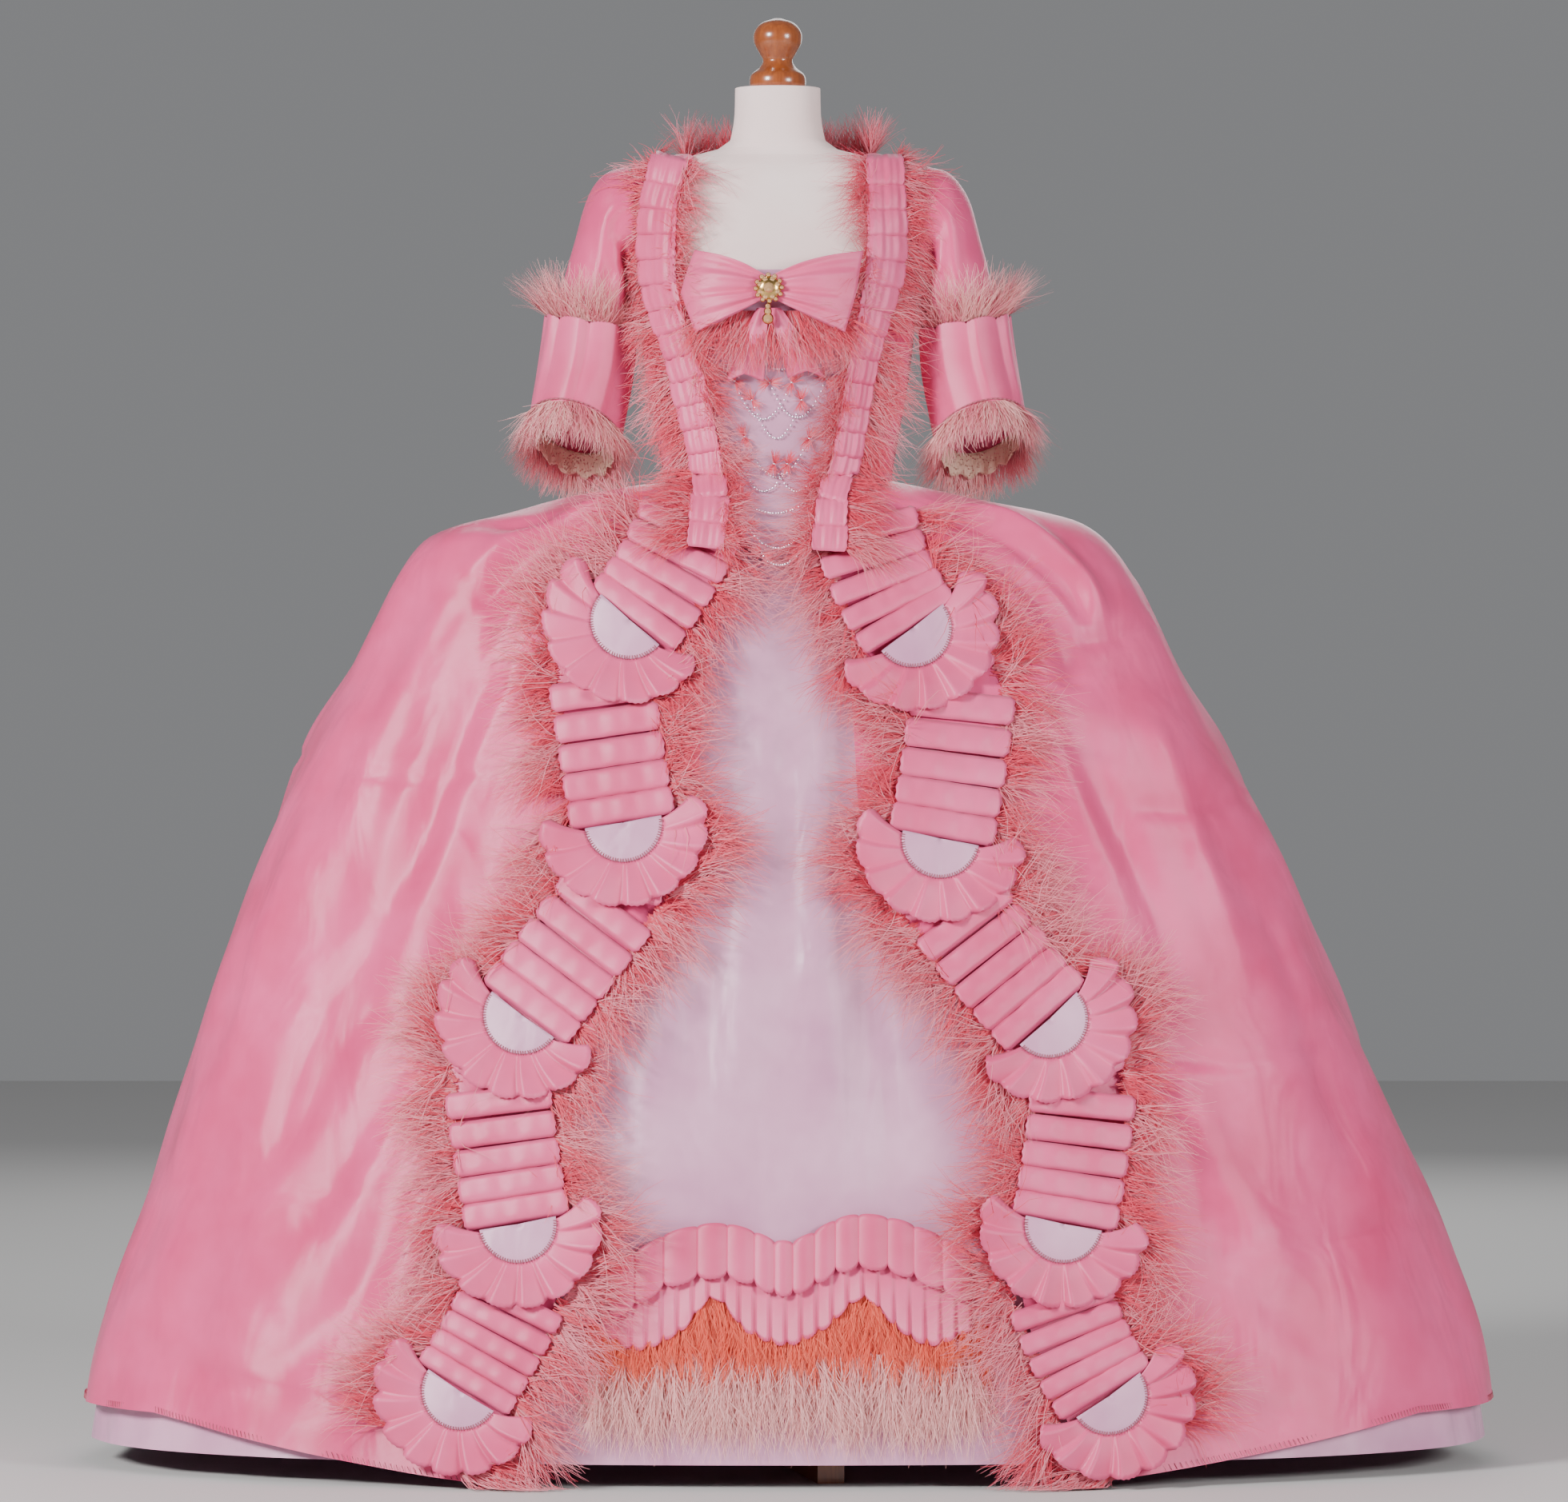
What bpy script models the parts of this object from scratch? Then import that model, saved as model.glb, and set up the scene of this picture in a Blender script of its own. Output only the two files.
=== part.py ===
"""Robe a la francaise on a limbless dress form. Metres, +Z up, the front faces -Y, +X is the viewer's right."""

import bisect
import math

import bmesh
import bpy
import numpy as np

# Picture measures: how far one pixel of the photo reaches at the form's middle plane.
PX = 0.000892
PX_MID = 972
PX_FLOOR = 1820
EYE_DISTANCE = 8.0
EYE_HEIGHT = 0.786

CLOTH = 0.002
THIN = 0.0015
SEAM = 0.0008
POWER = 2.3
SEAM_ANGLE = 0.12

# Outer surface of the robe skirt: height, half-width left, half-width right, front depth, back depth.
SKIRT = [
    (-0.010, 0.784, 0.808, 0.400, 0.528),
    (0.113, 0.763, 0.787, 0.387, 0.506),
    (0.276, 0.709, 0.729, 0.360, 0.468),
    (0.449, 0.654, 0.657, 0.323, 0.422),
    (0.590, 0.611, 0.598, 0.288, 0.378),
    (0.700, 0.565, 0.546, 0.256, 0.338),
    (0.800, 0.520, 0.496, 0.222, 0.296),
    (0.870, 0.481, 0.452, 0.196, 0.262),
    (0.930, 0.450, 0.421, 0.172, 0.224),
    (0.985, 0.421, 0.391, 0.149, 0.182),
    (1.020, 0.393, 0.364, 0.133, 0.152),
    (1.040, 0.350, 0.338, 0.121, 0.134),
    (1.056, 0.286, 0.290, 0.113, 0.122),
    (1.070, 0.222, 0.212, 0.106, 0.111),
    (1.085, 0.1295, 0.1295, 0.0985, 0.0965),
]
# How far the petticoat lies inside the robe: height, inset.
PETTICOAT_INSET = [(0.0, 0.016), (0.87, 0.016), (0.95, 0.014), (1.04, 0.011), (1.085, 0.0095)]

# Outer surface of the bodice: height, half-width left, half-width right, front depth, back depth.
BODICE = [
    (0.990, 0.415, 0.390, 0.162, 0.185),
    (1.030, 0.372, 0.350, 0.145, 0.150),
    (1.055, 0.290, 0.290, 0.133, 0.132),
    (1.072, 0.210, 0.210, 0.120, 0.114),
    (1.0885, 0.1285, 0.1285, 0.1090, 0.0945),
    (1.120, 0.133, 0.133, 0.1125, 0.0965),
    (1.160, 0.140, 0.140, 0.1176, 0.099),
    (1.200, 0.147, 0.147, 0.1226, 0.102),
    (1.250, 0.153, 0.153, 0.1290, 0.105),
    (1.290, 0.155, 0.155, 0.1290, 0.107),
    (1.330, 0.159, 0.159, 0.116, 0.107),
    (1.370, 0.166, 0.166, 0.100, 0.103),
    (1.405, 0.170, 0.170, 0.083, 0.097),
    (1.425, 0.170, 0.170, 0.072, 0.090),
    (1.438, 0.162, 0.162, 0.064, 0.083),
    (1.446, 0.145, 0.145, 0.057, 0.076),
    (1.452, 0.115, 0.115, 0.050, 0.068),
    (1.458, 0.085, 0.085, 0.046, 0.062),
]
# Dress form: height, half-width, front depth, back depth.
FORM = [
    (0.860, 0.148, 0.112, 0.122),
    (0.950, 0.150, 0.106, 0.125),
    (1.030, 0.132, 0.094, 0.104),
    (1.086, 0.120, 0.0885, 0.0875),
    (1.160, 0.133, 0.101, 0.092),
    (1.250, 0.147, 0.116, 0.098),
    (1.290, 0.149, 0.116, 0.100),
    (1.330, 0.153, 0.106, 0.100),
    (1.370, 0.160, 0.091, 0.096),
    (1.405, 0.164, 0.075, 0.090),
    (1.425, 0.163, 0.065, 0.083),
    (1.437, 0.152, 0.057, 0.075),
    (1.4445, 0.128, 0.050, 0.068),
    (1.4495, 0.096, 0.046, 0.061),
    (1.457, 0.067, 0.044, 0.055),
    (1.468, 0.053, 0.044, 0.050),
    (1.500, 0.048, 0.044, 0.047),
    (1.525, 0.0475, 0.044, 0.0465),
]
# Turned finial: height, radius.
FINIAL = [
    (1.5255, 0.026),
    (1.5290, 0.031),
    (1.5400, 0.030),
    (1.5480, 0.021),
    (1.5560, 0.0165),
    (1.5640, 0.020),
    (1.5760, 0.0262),
    (1.5880, 0.0262),
    (1.5980, 0.0185),
    (1.6035, 0.007),
]
POLE_RADIUS = 0.014
POLE_BOTTOM = 0.052
FOOT_REACH = 0.315
FOOT_HALF = 0.0145
FOOT_TALL = 0.027
HUB_TALL = 0.050
FOOT_TURNS = (-79.5, 40.5, 160.5)

# Front edge of each bodice and robe front: photo px across, px down.
EDGES = {
    "left": [(862, 187), (850, 258), (847, 306), (852, 359), (868, 430), (886, 478), (893, 526),
             (903, 574), (911, 622), (903, 690)],
    "right": [(1081, 187), (1081, 258), (1083, 306), (1081, 340), (1069, 407), (1059, 454),
              (1047, 526), (1040, 574), (1021, 622), (1012, 690)],
}
ROBE_EDGES = {
    "left": [(916, 592), (914, 700), (884, 830), (866, 1031), (832, 1145), (745, 1300),
             (716, 1400), (712, 1521), (694, 1624), (655, 1765), (640, 1875)],
    "right": [(1028, 592), (1034, 700), (1062, 850), (1078, 1045), (1126, 1150), (1225, 1300),
              (1263, 1400), (1264, 1521), (1282, 1640), (1335, 1780), (1350, 1875)],
}
# Tabbed band on each bodice front: px across of its middle, px down, half-width in px.
BODICE_BANDS = {
    "left": [(840, 199, 21), (827, 258, 22), (825, 306, 22), (829, 359, 19), (851, 430, 17),
             (865, 478, 20), (876, 526, 18), (886, 574, 18), (889, 622, 23), (882, 684, 20)],
    "right": [(1103, 199, 21), (1104, 258, 22), (1105, 306, 22), (1102, 340, 21), (1085, 407, 16),
              (1074, 454, 15), (1062, 526, 16), (1055, 574, 16), (1040, 622, 18), (1036, 688, 23)],
}
TABS_A_SIDE = 16
# Skirt trim: each run's start across and down, the fan's centre across and down, the way the fan points.
RUNS = {
    "left": [
        (868, 650, 790, 778, -0.66, 0.75),
        (752, 850, 780, 1030, 0.17, 0.98),
        (765, 1128, 657, 1270, -0.60, 0.80),
        (624, 1362, 649, 1530, 0.18, 0.98),
        (648, 1618, 580, 1738, -0.54, 0.84),
    ],
    "right": [
        (1078, 650, 1138, 788, 0.61, 0.79),
        (1202, 868, 1175, 1050, -0.20, 0.98),
        (1195, 1140, 1307, 1275, 0.68, 0.73),
        (1352, 1366, 1328, 1530, -0.20, 0.98),
        (1322, 1622, 1382, 1744, 0.58, 0.82),
    ],
}
BAND_HALF = 65
STRIPS_A_RUN = 5
MOON_RADIUS = 48
FAN_INNER = 49.5
FAN_OUTER = 106
FAN_PLEATS = 6
PLEAT_STEPS = 3
PLEAT_RISE = (0.0, 0.7, 1.0)
PLEAT_SCALLOP = (1.0, 0.1, 0.1)

# Heights of the trim's layers over the robe.
BACKING_LIFT = 0.0020
BAND_LOW = 0.0051
BAND_HIGH = 0.0083
MOON_LIFT = 0.0076
FAN_LIFT = 0.0108

# Sleeve: outer side across and up, inner side across and up, half-depth, middle depth.
SLEEVE = [
    (0.194, 1.430, 0.1655, 1.314, 0.053, 0.000),
    (0.213, 1.402, 0.1605, 1.301, 0.054, -0.001),
    (0.2300, 1.344, 0.1592, 1.286, 0.0525, -0.004),
    (0.2435, 1.290, 0.1620, 1.266, 0.048, -0.008),
    (0.2470, 1.262, 0.1688, 1.249, 0.0452, -0.010),
    (0.2465, 1.242, 0.1700, 1.234, 0.0445, -0.012),
]
# Cuff: outer side across and up, inner side across and up, half-depth, middle depth, rise toward the front.
CUFF = [
    (0.2570, 1.268, 0.1600, 1.252, 0.0535, -0.010, 0.00),
    (0.2655, 1.217, 0.1618, 1.206, 0.0572, -0.0155, 0.15),
    (0.2735, 1.176, 0.1680, 1.160, 0.060, -0.021, 0.38),
    (0.2770, 1.150, 0.1750, 1.126, 0.061, -0.025, 0.53),
]
CUFF_PLEATS = 8
LACE_SCALLOPS = 10

# Hanging back panel: height, half-width, how far its middle stands off, pleat depth.
SACK = [
    (0.008, 0.340, 0.016, 0.014),
    (0.140, 0.325, 0.016, 0.013),
    (0.300, 0.303, 0.016, 0.012),
    (0.460, 0.278, 0.017, 0.011),
    (0.620, 0.250, 0.019, 0.010),
    (0.760, 0.220, 0.024, 0.009),
    (0.880, 0.185, 0.036, 0.009),
    (0.980, 0.150, 0.066, 0.008),
    (1.040, 0.126, 0.092, 0.008),
    (1.075, 0.113, 0.103, 0.008),
    (1.100, 0.106, 0.102, 0.008),
    (1.170, 0.104, 0.080, 0.008),
    (1.260, 0.104, 0.052, 0.007),
    (1.350, 0.103, 0.026, 0.007),
    (1.432, 0.100, 0.006, 0.006),
]
# Profile of the box pleats across half the panel: share of the half-width, share of the pleat depth.
SACK_PROFILE = [(0.0, 0.0), (0.06, 0.0), (0.13, 1.0), (0.46, 1.0), (0.55, 0.1), (0.64, 0.7), (0.88, 0.7),
                (1.0, 0.0)]

# Wave of tabs over the petticoat's hem: px across, px down of each tab's top.
HEM_TABS = [(762, 1590), (794, 1572), (830, 1549), (872, 1537), (909, 1535), (943, 1545), (968, 1557),
            (991, 1558), (1018, 1545), (1044, 1530), (1073, 1523), (1109, 1527), (1142, 1537),
            (1178, 1553), (1212, 1570)]
HEM_TAB_TALL = 60
# Ruffle under the tabs: px across, px down of its upper edge, px down of its lower edge.
RUFFLE = [(752, 1634, 1668), (796, 1614, 1690), (850, 1590, 1668), (893, 1578, 1626), (935, 1584, 1668),
          (983, 1600, 1684), (1030, 1588, 1664), (1079, 1568, 1626), (1125, 1580, 1666), (1163, 1590, 1684),
          (1216, 1606, 1664)]
RUFFLE_PLEATS = 11
FRINGE_ACROSS = (750, 1222)
FRINGE_TOP = 1690
FRINGE_BOTTOM = 1818
FRINGE_LOCKS = 24

COLOURS = {
    "pink_satin": (0.80, 0.22, 0.36, 0.30),
    "pale_satin": (0.83, 0.66, 0.82, 0.30),
    "form_cloth": (0.90, 0.80, 0.74, 0.80),
    "wood": (0.30, 0.09, 0.02, 0.30),
    "coral_feather": (0.80, 0.12, 0.14, 0.85),
    "pale_feather": (0.80, 0.48, 0.48, 0.85),
    "lace": (0.70, 0.45, 0.33, 0.85),
    "gold": (0.80, 0.52, 0.18, 0.30),
}


def clear_scene():
    for thing in list(bpy.data.objects):
        bpy.data.objects.remove(thing)


def material(name):
    found = bpy.data.materials.get(name)
    if found:
        return found
    red, green, blue, rough = COLOURS[name]
    made = bpy.data.materials.new(name)
    made.use_nodes = True
    shader = made.node_tree.nodes["Principled BSDF"]
    shader.inputs["Base Color"].default_value = (red, green, blue, 1.0)
    shader.inputs["Roughness"].default_value = rough
    made.diffuse_color = (red, green, blue, 1.0)
    return made


def unit(vector):
    return vector / max(np.linalg.norm(vector), 1e-12)


class Curve:
    """Smooth curve through rising knots that never overshoots them."""

    def __init__(self, knots, values):
        self.x = list(knots)
        self.y = list(values)
        steps = [b - a for a, b in zip(self.x, self.x[1:])]
        rises = [(b - a) / s for a, b, s in zip(self.y, self.y[1:], steps)]
        self.slope = [rises[0]]
        for one, two in zip(rises, rises[1:]):
            self.slope.append(0.0 if one * two <= 0 else 2 * one * two / (one + two))
        self.slope.append(rises[-1])

    def __call__(self, x):
        x = min(max(x, self.x[0]), self.x[-1])
        i = min(max(bisect.bisect_right(self.x, x) - 1, 0), len(self.x) - 2)
        width = self.x[i + 1] - self.x[i]
        t = (x - self.x[i]) / width
        a, b = self.y[i], self.y[i + 1]
        c, d = self.slope[i] * width, self.slope[i + 1] * width
        return (a * (2 * t**3 - 3 * t**2 + 1) + c * (t**3 - 2 * t**2 + t)
                + b * (3 * t**2 - 2 * t**3) + d * (t**3 - t**2))


def spread(values, share):
    """Value at a share from 0 to 1 along a list of evenly spaced values, on straight lines."""
    place = share * (len(values) - 1)
    i = min(int(place), len(values) - 2)
    return values[i] + (values[i + 1] - values[i]) * (place - i)


class Body:
    """Stack of oval sections. Turn 0 is the right side, 90 the front, 180 the left, 270 the back."""

    def __init__(self, rows, inset=None):
        heights = [row[0] for row in rows]
        self.left, self.right, self.front, self.back = (
            Curve(heights, [row[i] for row in rows]) for i in (1, 2, 3, 4))
        self.inset = Curve([r[0] for r in inset], [r[1] for r in inset]) if inset else None

    def bare(self, z, turn):
        angle = math.radians(turn)
        c, s = math.cos(angle), math.sin(angle)
        wide = self.right(z) if c >= 0 else self.left(z)
        deep = self.front(z) if s >= 0 else self.back(z)
        x = math.copysign(wide * abs(c) ** (2 / POWER), c)
        y = -math.copysign(deep * abs(s) ** (2 / POWER), s)
        return np.array([x, y, z])

    def normal(self, z, turn):
        spin = 0.4
        tall = 0.0015
        around = self.bare(z, turn + spin) - self.bare(z, turn - spin)
        up = self.bare(z + tall, turn) - self.bare(z - tall, turn)
        return unit(np.cross(up, around))

    def point(self, z, turn, lift=0.0):
        reach = lift - (self.inset(z) if self.inset else 0.0)
        base = self.bare(z, turn)
        return base + self.normal(z, turn) * reach if reach else base

    def turn_at(self, x, z, behind=False):
        wide = self.right(z) if x >= 0 else self.left(z)
        share = min(abs(x) / wide, 1.0)
        turn = math.degrees(math.acos(min(share ** (POWER / 2), 1.0)))
        turn = turn if x >= 0 else 180 - turn
        return -turn if behind else turn

    def seen(self, across, down, lift=0.0):
        """Surface point that the eye sees at this place of the photo, then lifted off along the normal."""
        want_x = (across - PX_MID) * PX
        want_z = (PX_FLOOR - down) * PX
        x, z = want_x * 0.96, EYE_HEIGHT + (want_z - EYE_HEIGHT) * 0.96
        for _ in range(7):
            turn = self.turn_at(x, z)
            found = self.point(z, turn)
            scale = EYE_DISTANCE / (EYE_DISTANCE + found[1])
            x += want_x / scale - found[0]
            z += (want_z - EYE_HEIGHT) / scale + EYE_HEIGHT - found[2]
        turn = self.turn_at(x, z)
        return self.point(z, turn, lift)


def grid_normals(points, closed):
    """Normals of a grid of points, rows down and columns round."""
    down = np.gradient(points, axis=0)
    if closed:
        across = np.roll(points, -1, axis=1) - np.roll(points, 1, axis=1)
    else:
        across = np.gradient(points, axis=1)
    normals = np.cross(across, down)
    return normals / np.maximum(np.linalg.norm(normals, axis=2, keepdims=True), 1e-12)


def build(name, points, faces, look, smooth=True):
    mesh = bpy.data.meshes.new(name)
    mesh.from_pydata([tuple(map(float, p)) for p in points], [], faces)
    work = bmesh.new()
    work.from_mesh(mesh)
    bmesh.ops.recalc_face_normals(work, faces=work.faces)
    work.to_mesh(mesh)
    work.free()
    for face in mesh.polygons:
        face.use_smooth = smooth
    mesh.materials.append(material(look))
    made = bpy.data.objects.new(name, mesh)
    bpy.context.scene.collection.objects.link(made)
    return made


def sheet(name, outer, inner, look, closed=False):
    """Cloth wall between two grids of points, rows by columns, closed at its edges."""
    outer, inner = np.asarray(outer, float), np.asarray(inner, float)
    rows, columns = outer.shape[:2]
    points = np.concatenate([outer.reshape(-1, 3), inner.reshape(-1, 3)])
    back = rows * columns
    last = columns if closed else columns - 1
    faces = []
    for r in range(rows - 1):
        for c in range(last):
            a, b = r * columns + c, r * columns + (c + 1) % columns
            d, e = a + columns, b + columns
            faces.append((a, b, e, d))
            faces.append((back + a, back + d, back + e, back + b))
    for c in range(last):
        a, b = c, (c + 1) % columns
        faces.append((a, back + a, back + b, b))
        a, b = (rows - 1) * columns + a, (rows - 1) * columns + b
        faces.append((a, b, back + b, back + a))
    if not closed:
        for r in range(rows - 1):
            a, b = r * columns, (r + 1) * columns
            faces.append((a, b, back + b, back + a))
            a, b = a + columns - 1, b + columns - 1
            faces.append((a, back + a, back + b, b))
    return build(name, points, faces, look)


def capped(name, rings, look):
    """Solid through a stack of rings, closed by a flat cap at each end."""
    rings = np.asarray(rings, float)
    rows, columns = rings.shape[:2]
    faces = [tuple(reversed(range(columns))), tuple((rows - 1) * columns + c for c in range(columns))]
    for r in range(rows - 1):
        for c in range(columns):
            a, b = r * columns + c, r * columns + (c + 1) % columns
            faces.append((a, b, b + columns, a + columns))
    return build(name, rings.reshape(-1, 3), faces, look)


def fringe(name, one_edge, other_edge, normals, look, locks_one, locks_other, closed=False, lowest=0.005,
           spine=None):
    """Backing strip with feather locks grown from its edges. A lock is (way out, length, tip half-width) or None."""
    one, other, up = (np.asarray(v, float) for v in (one_edge, other_edge, normals))
    count = len(one)
    last = count if closed else count - 1
    points = [*(one + up * THIN), *(other + up * THIN), *one, *other]
    top_one, top_other, low_one, low_other, top_mid, low_mid = (i * count for i in range(6))
    if spine:
        points += [*(np.asarray(spine) + up * THIN), *np.asarray(spine)]
    faces = []

    def wall(top, low, i, j, lock):
        corners = (top + i, top + j, low + j, low + i)
        if lock is None:
            faces.append(corners)
            return
        way, length, tip_half = lock
        root = sum(points[c] for c in corners) / 4
        tip = root + way * length
        tip[2] = max(tip[2], lowest)
        along = unit(points[top + j] - points[top + i]) * tip_half
        lift = unit(up[i] + up[j]) * 0.0006
        start = len(points)
        points.extend([tip - along + lift, tip + along + lift, tip + along - lift, tip - along - lift])
        for k in range(4):
            n = (k + 1) % 4
            faces.append((corners[k], corners[n], start + n, start + k))
        faces.append((start, start + 1, start + 2, start + 3))

    for i in range(last):
        j = (i + 1) % count
        for a, m, b in ((top_one, top_mid, top_other), (low_one, low_mid, low_other)):
            if spine:
                faces.append((a + i, a + j, m + j, m + i))
                faces.append((m + i, m + j, b + j, b + i))
            else:
                faces.append((a + i, a + j, b + j, b + i))
        wall(top_one, low_one, i, j, locks_one[i] if locks_one else None)
        wall(top_other, low_other, i, j, locks_other[i] if locks_other else None)
    if not closed:
        for i in (0, count - 1):
            if spine:
                faces.append((top_one + i, top_mid + i, top_other + i, low_other + i, low_mid + i, low_one + i))
            else:
                faces.append((top_one + i, top_other + i, low_other + i, low_one + i))
    return build(name, points, faces, look, smooth=False)


def edge_path(surface, rows):
    """Front edge as a curve: x at a height, from the places measured in the photo."""
    found = sorted((tuple(surface.seen(a, d)) for a, d in rows), key=lambda p: p[2])
    return Curve([p[2] for p in found], [p[0] for p in found])


SKIRT_BODY = Body(SKIRT)
PETTICOAT_BODY = Body(SKIRT, PETTICOAT_INSET)
BODICE_BODY = Body(BODICE)
FORM_BODY = Body([(z, w, w, f, b) for z, w, f, b in FORM])


def hem_height(turn):
    """Robe hem over the floor: it touches down at the front corners and lifts at the sides."""
    side = abs(math.cos(math.radians(turn)))
    front = math.sin(math.radians(turn)) > 0
    rise = min(max((side - 0.34) / 0.52, 0.0), 1.0)
    return 0.006 + (0.062 if front else 0.060) * rise ** 1.2


def form():
    heights = [row[0] for row in FORM]
    turns = [i * 20 for i in range(18)]
    capped("form_torso", [[FORM_BODY.point(z, t) for t in turns] for z in heights], "form_cloth")
    ring = [math.radians(i * 30) for i in range(12)]
    capped("form_finial", [[(r * math.cos(t), r * math.sin(t), z) for t in ring] for z, r in FINIAL], "wood")
    ring = [math.radians(i * 30) for i in range(12)]
    capped("stand_pole", [[(POLE_RADIUS * math.cos(t), POLE_RADIUS * math.sin(t), z) for t in ring]
                          for z in (POLE_BOTTOM, 0.8595)], "wood")
    outline = []
    for n, turn in enumerate(FOOT_TURNS):
        along = math.radians(turn)
        way = np.array([math.cos(along), math.sin(along)])
        side = np.array([-way[1], way[0]])
        inner = FOOT_HALF / math.tan(math.radians(60)) + 0.012
        outline.append((way * inner - side * FOOT_HALF, HUB_TALL))
        outline.append((way * FOOT_REACH - side * FOOT_HALF, FOOT_TALL))
        outline.append((way * FOOT_REACH + side * FOOT_HALF, FOOT_TALL))
        outline.append((way * inner + side * FOOT_HALF, HUB_TALL))
    low = [(*p, 0.0) for p, _ in outline]
    high = [(*p, z) for p, z in outline]
    count = len(outline)
    faces = [(i, (i + 1) % count, count + (i + 1) % count, count + i) for i in range(count)]
    for n in range(3):
        a = n * 4
        faces.append((count + a, count + a + 1, count + a + 2, count + a + 3))
        faces.append((a, a + 3, a + 2, a + 1))
    faces.append(tuple(count + i for n in range(3) for i in (n * 4, n * 4 + 3)))
    faces.append(tuple(i for n in (2, 1, 0) for i in (n * 4 + 3, n * 4)))
    build("stand_base", low + high, faces, "wood", smooth=False)


def skirt_wall(name, look, body, turns, heights):
    """Panel of skirt: turns(row) gives the turn of each column, heights(row, turn) the height."""
    outer = [[body.point(heights(r, t), t) for t in turns(r)] for r in range(len(ROBE_LEVELS))]
    inner = [[body.point(heights(r, t), t, -CLOTH) for t in turns(r)] for r in range(len(ROBE_LEVELS))]
    sheet(name, outer, inner, look)


# Rows of a skirt panel from the waist down: share of the way to the hem.
ROBE_LEVELS = (0.0, 0.014, 0.028, 0.045, 0.075, 0.125, 0.20, 0.31, 0.44, 0.59, 0.75, 0.89, 1.0)
ROBE_TOP = 1.0850
SACK_LEVELS = (0.0, 0.014, 0.028, 0.045, 0.125, 0.20, 0.31, 0.44, 0.59, 0.75, 0.89, 1.0)


def robe_skirts():
    width = Curve([r[0] for r in SACK], [r[1] for r in SACK])
    for side in ("left", "right"):
        edge = edge_path(SKIRT_BODY, ROBE_EDGES[side])
        mirror = -1 if side == "left" else 1

        def height(row, turn):
            low = hem_height(turn)
            return ROBE_TOP + (low - ROBE_TOP) * ROBE_LEVELS[row]

        def turns(row):
            z = ROBE_TOP + (0.006 - ROBE_TOP) * ROBE_LEVELS[row]
            start = SKIRT_BODY.turn_at(edge(z), z)
            end = SKIRT_BODY.turn_at(mirror * (width(z) + SEAM), z, behind=True)
            if side == "left":
                end += 360
            return [start + (end - start) * i / 12 for i in range(13)]

        skirt_wall(f"robe_skirt_{side}", "pink_satin", SKIRT_BODY, turns, height)


def petticoat():
    levels = (0.0, 0.024, 0.048, 0.09, 0.17, 0.31, 0.50, 0.75, 1.0)
    turns = [i * 12 for i in range(30)]
    outer, inner = [], []
    top = [(1.0790, 0.1250, 0.0935, 0.0930)]
    for z, wide, front, back in top:
        ring = Body([(z - 0.1, wide, wide, front, back), (z + 0.1, wide, wide, front, back)])
        outer.append([ring.bare(z, t) for t in turns])
        inner.append([ring.point(z, t, -0.0012) - np.array([0, 0, 0.0012]) for t in turns])
    for level in levels[1:]:
        z = 1.088 + (0.028 - 1.088) * level
        outer.append([PETTICOAT_BODY.point(z, t) for t in turns])
        inner.append([PETTICOAT_BODY.point(z, t, -CLOTH) for t in turns])
    sheet("petticoat", outer, inner, "pale_satin", closed=True)


def sack_back():
    columns = [-u for u, _ in reversed(SACK_PROFILE[1:])] + [u for u, _ in SACK_PROFILE]
    rises = [d for _, d in reversed(SACK_PROFILE[1:])] + [d for _, d in SACK_PROFILE]
    outer = []
    width, stand_off, pleat = (Curve([r[0] for r in SACK], [r[i] for r in SACK]) for i in (1, 2, 3))
    heights = [(row[0], 0.0) for row in reversed(SACK) if row[0] > 1.09]
    heights += [(ROBE_TOP + (0.006 - ROBE_TOP) * level, level) for level in SACK_LEVELS]
    for z, level in heights:
        row = []
        for u, rise in zip(columns, rises):
            x = u * width(z)
            if z > 1.0855:
                base = BODICE_BODY.bare(z, BODICE_BODY.turn_at(x, z, behind=True))[1] + 0.0080
                low = z
            else:
                turn = SKIRT_BODY.turn_at(x, z, behind=True)
                low = ROBE_TOP + (hem_height(turn) - ROBE_TOP) * level
                base = SKIRT_BODY.bare(low, SKIRT_BODY.turn_at(x, low, behind=True))[1]
            lift = stand_off(z) * (1 - abs(u) ** 3) + pleat(z) * rise
            row.append((x, base + lift, low))
        outer.append(row)
    outer = np.array(outer)
    normals = grid_normals(outer, False)
    normals *= np.sign((normals[:, :, 1:2]).mean())
    sheet("sack_back", outer, outer - normals * CLOTH, "pink_satin")


# Rows of a bodice front from the shoulder down: height at the front edge, height at the side, armhole turn.
FRONT_ROWS = [
    (1.4535, 1.436, 0), (1.447, 1.424, 15), (1.430, 1.400, 24), (1.400, 1.370, 26), (1.365, 1.340, 20),
    (1.330, 1.318, 8), (1.295, 1.295, 0), (1.250, 1.250, 0), (1.200, 1.200, 0), (1.145, 1.150, 0),
    (1.098, 1.112, 0), (1.083, 1.104, 0), (1.068, 1.098, 0), (1.045, 1.093, 0), (1.014, 1.0882, 0),
]
ARMHOLE_BACK = (0, 12, 20, 22, 17, 7)
BACK_MIDDLE = (1.436, 1.424, 1.402, 1.372, 1.342, 1.318)


def wall_of(body, rows):
    """Outer and inner points of a cloth wall from rows of (height, turn)."""
    outer = [[body.point(z, turn) for z, turn in row] for row in rows]
    inner = [[body.point(z, turn, -CLOTH) for z, turn in row] for row in rows]
    return outer, inner


def eased(rows):
    """Adds two rows between the first two, so that the wall follows the round of the shoulder."""
    between = [[tuple(a + (b - a) * t for a, b in zip(one, two)) for one, two in zip(rows[0], rows[1])]
               for t in (0.3, 0.65)]
    return [rows[0], *between, *rows[1:]]


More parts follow.
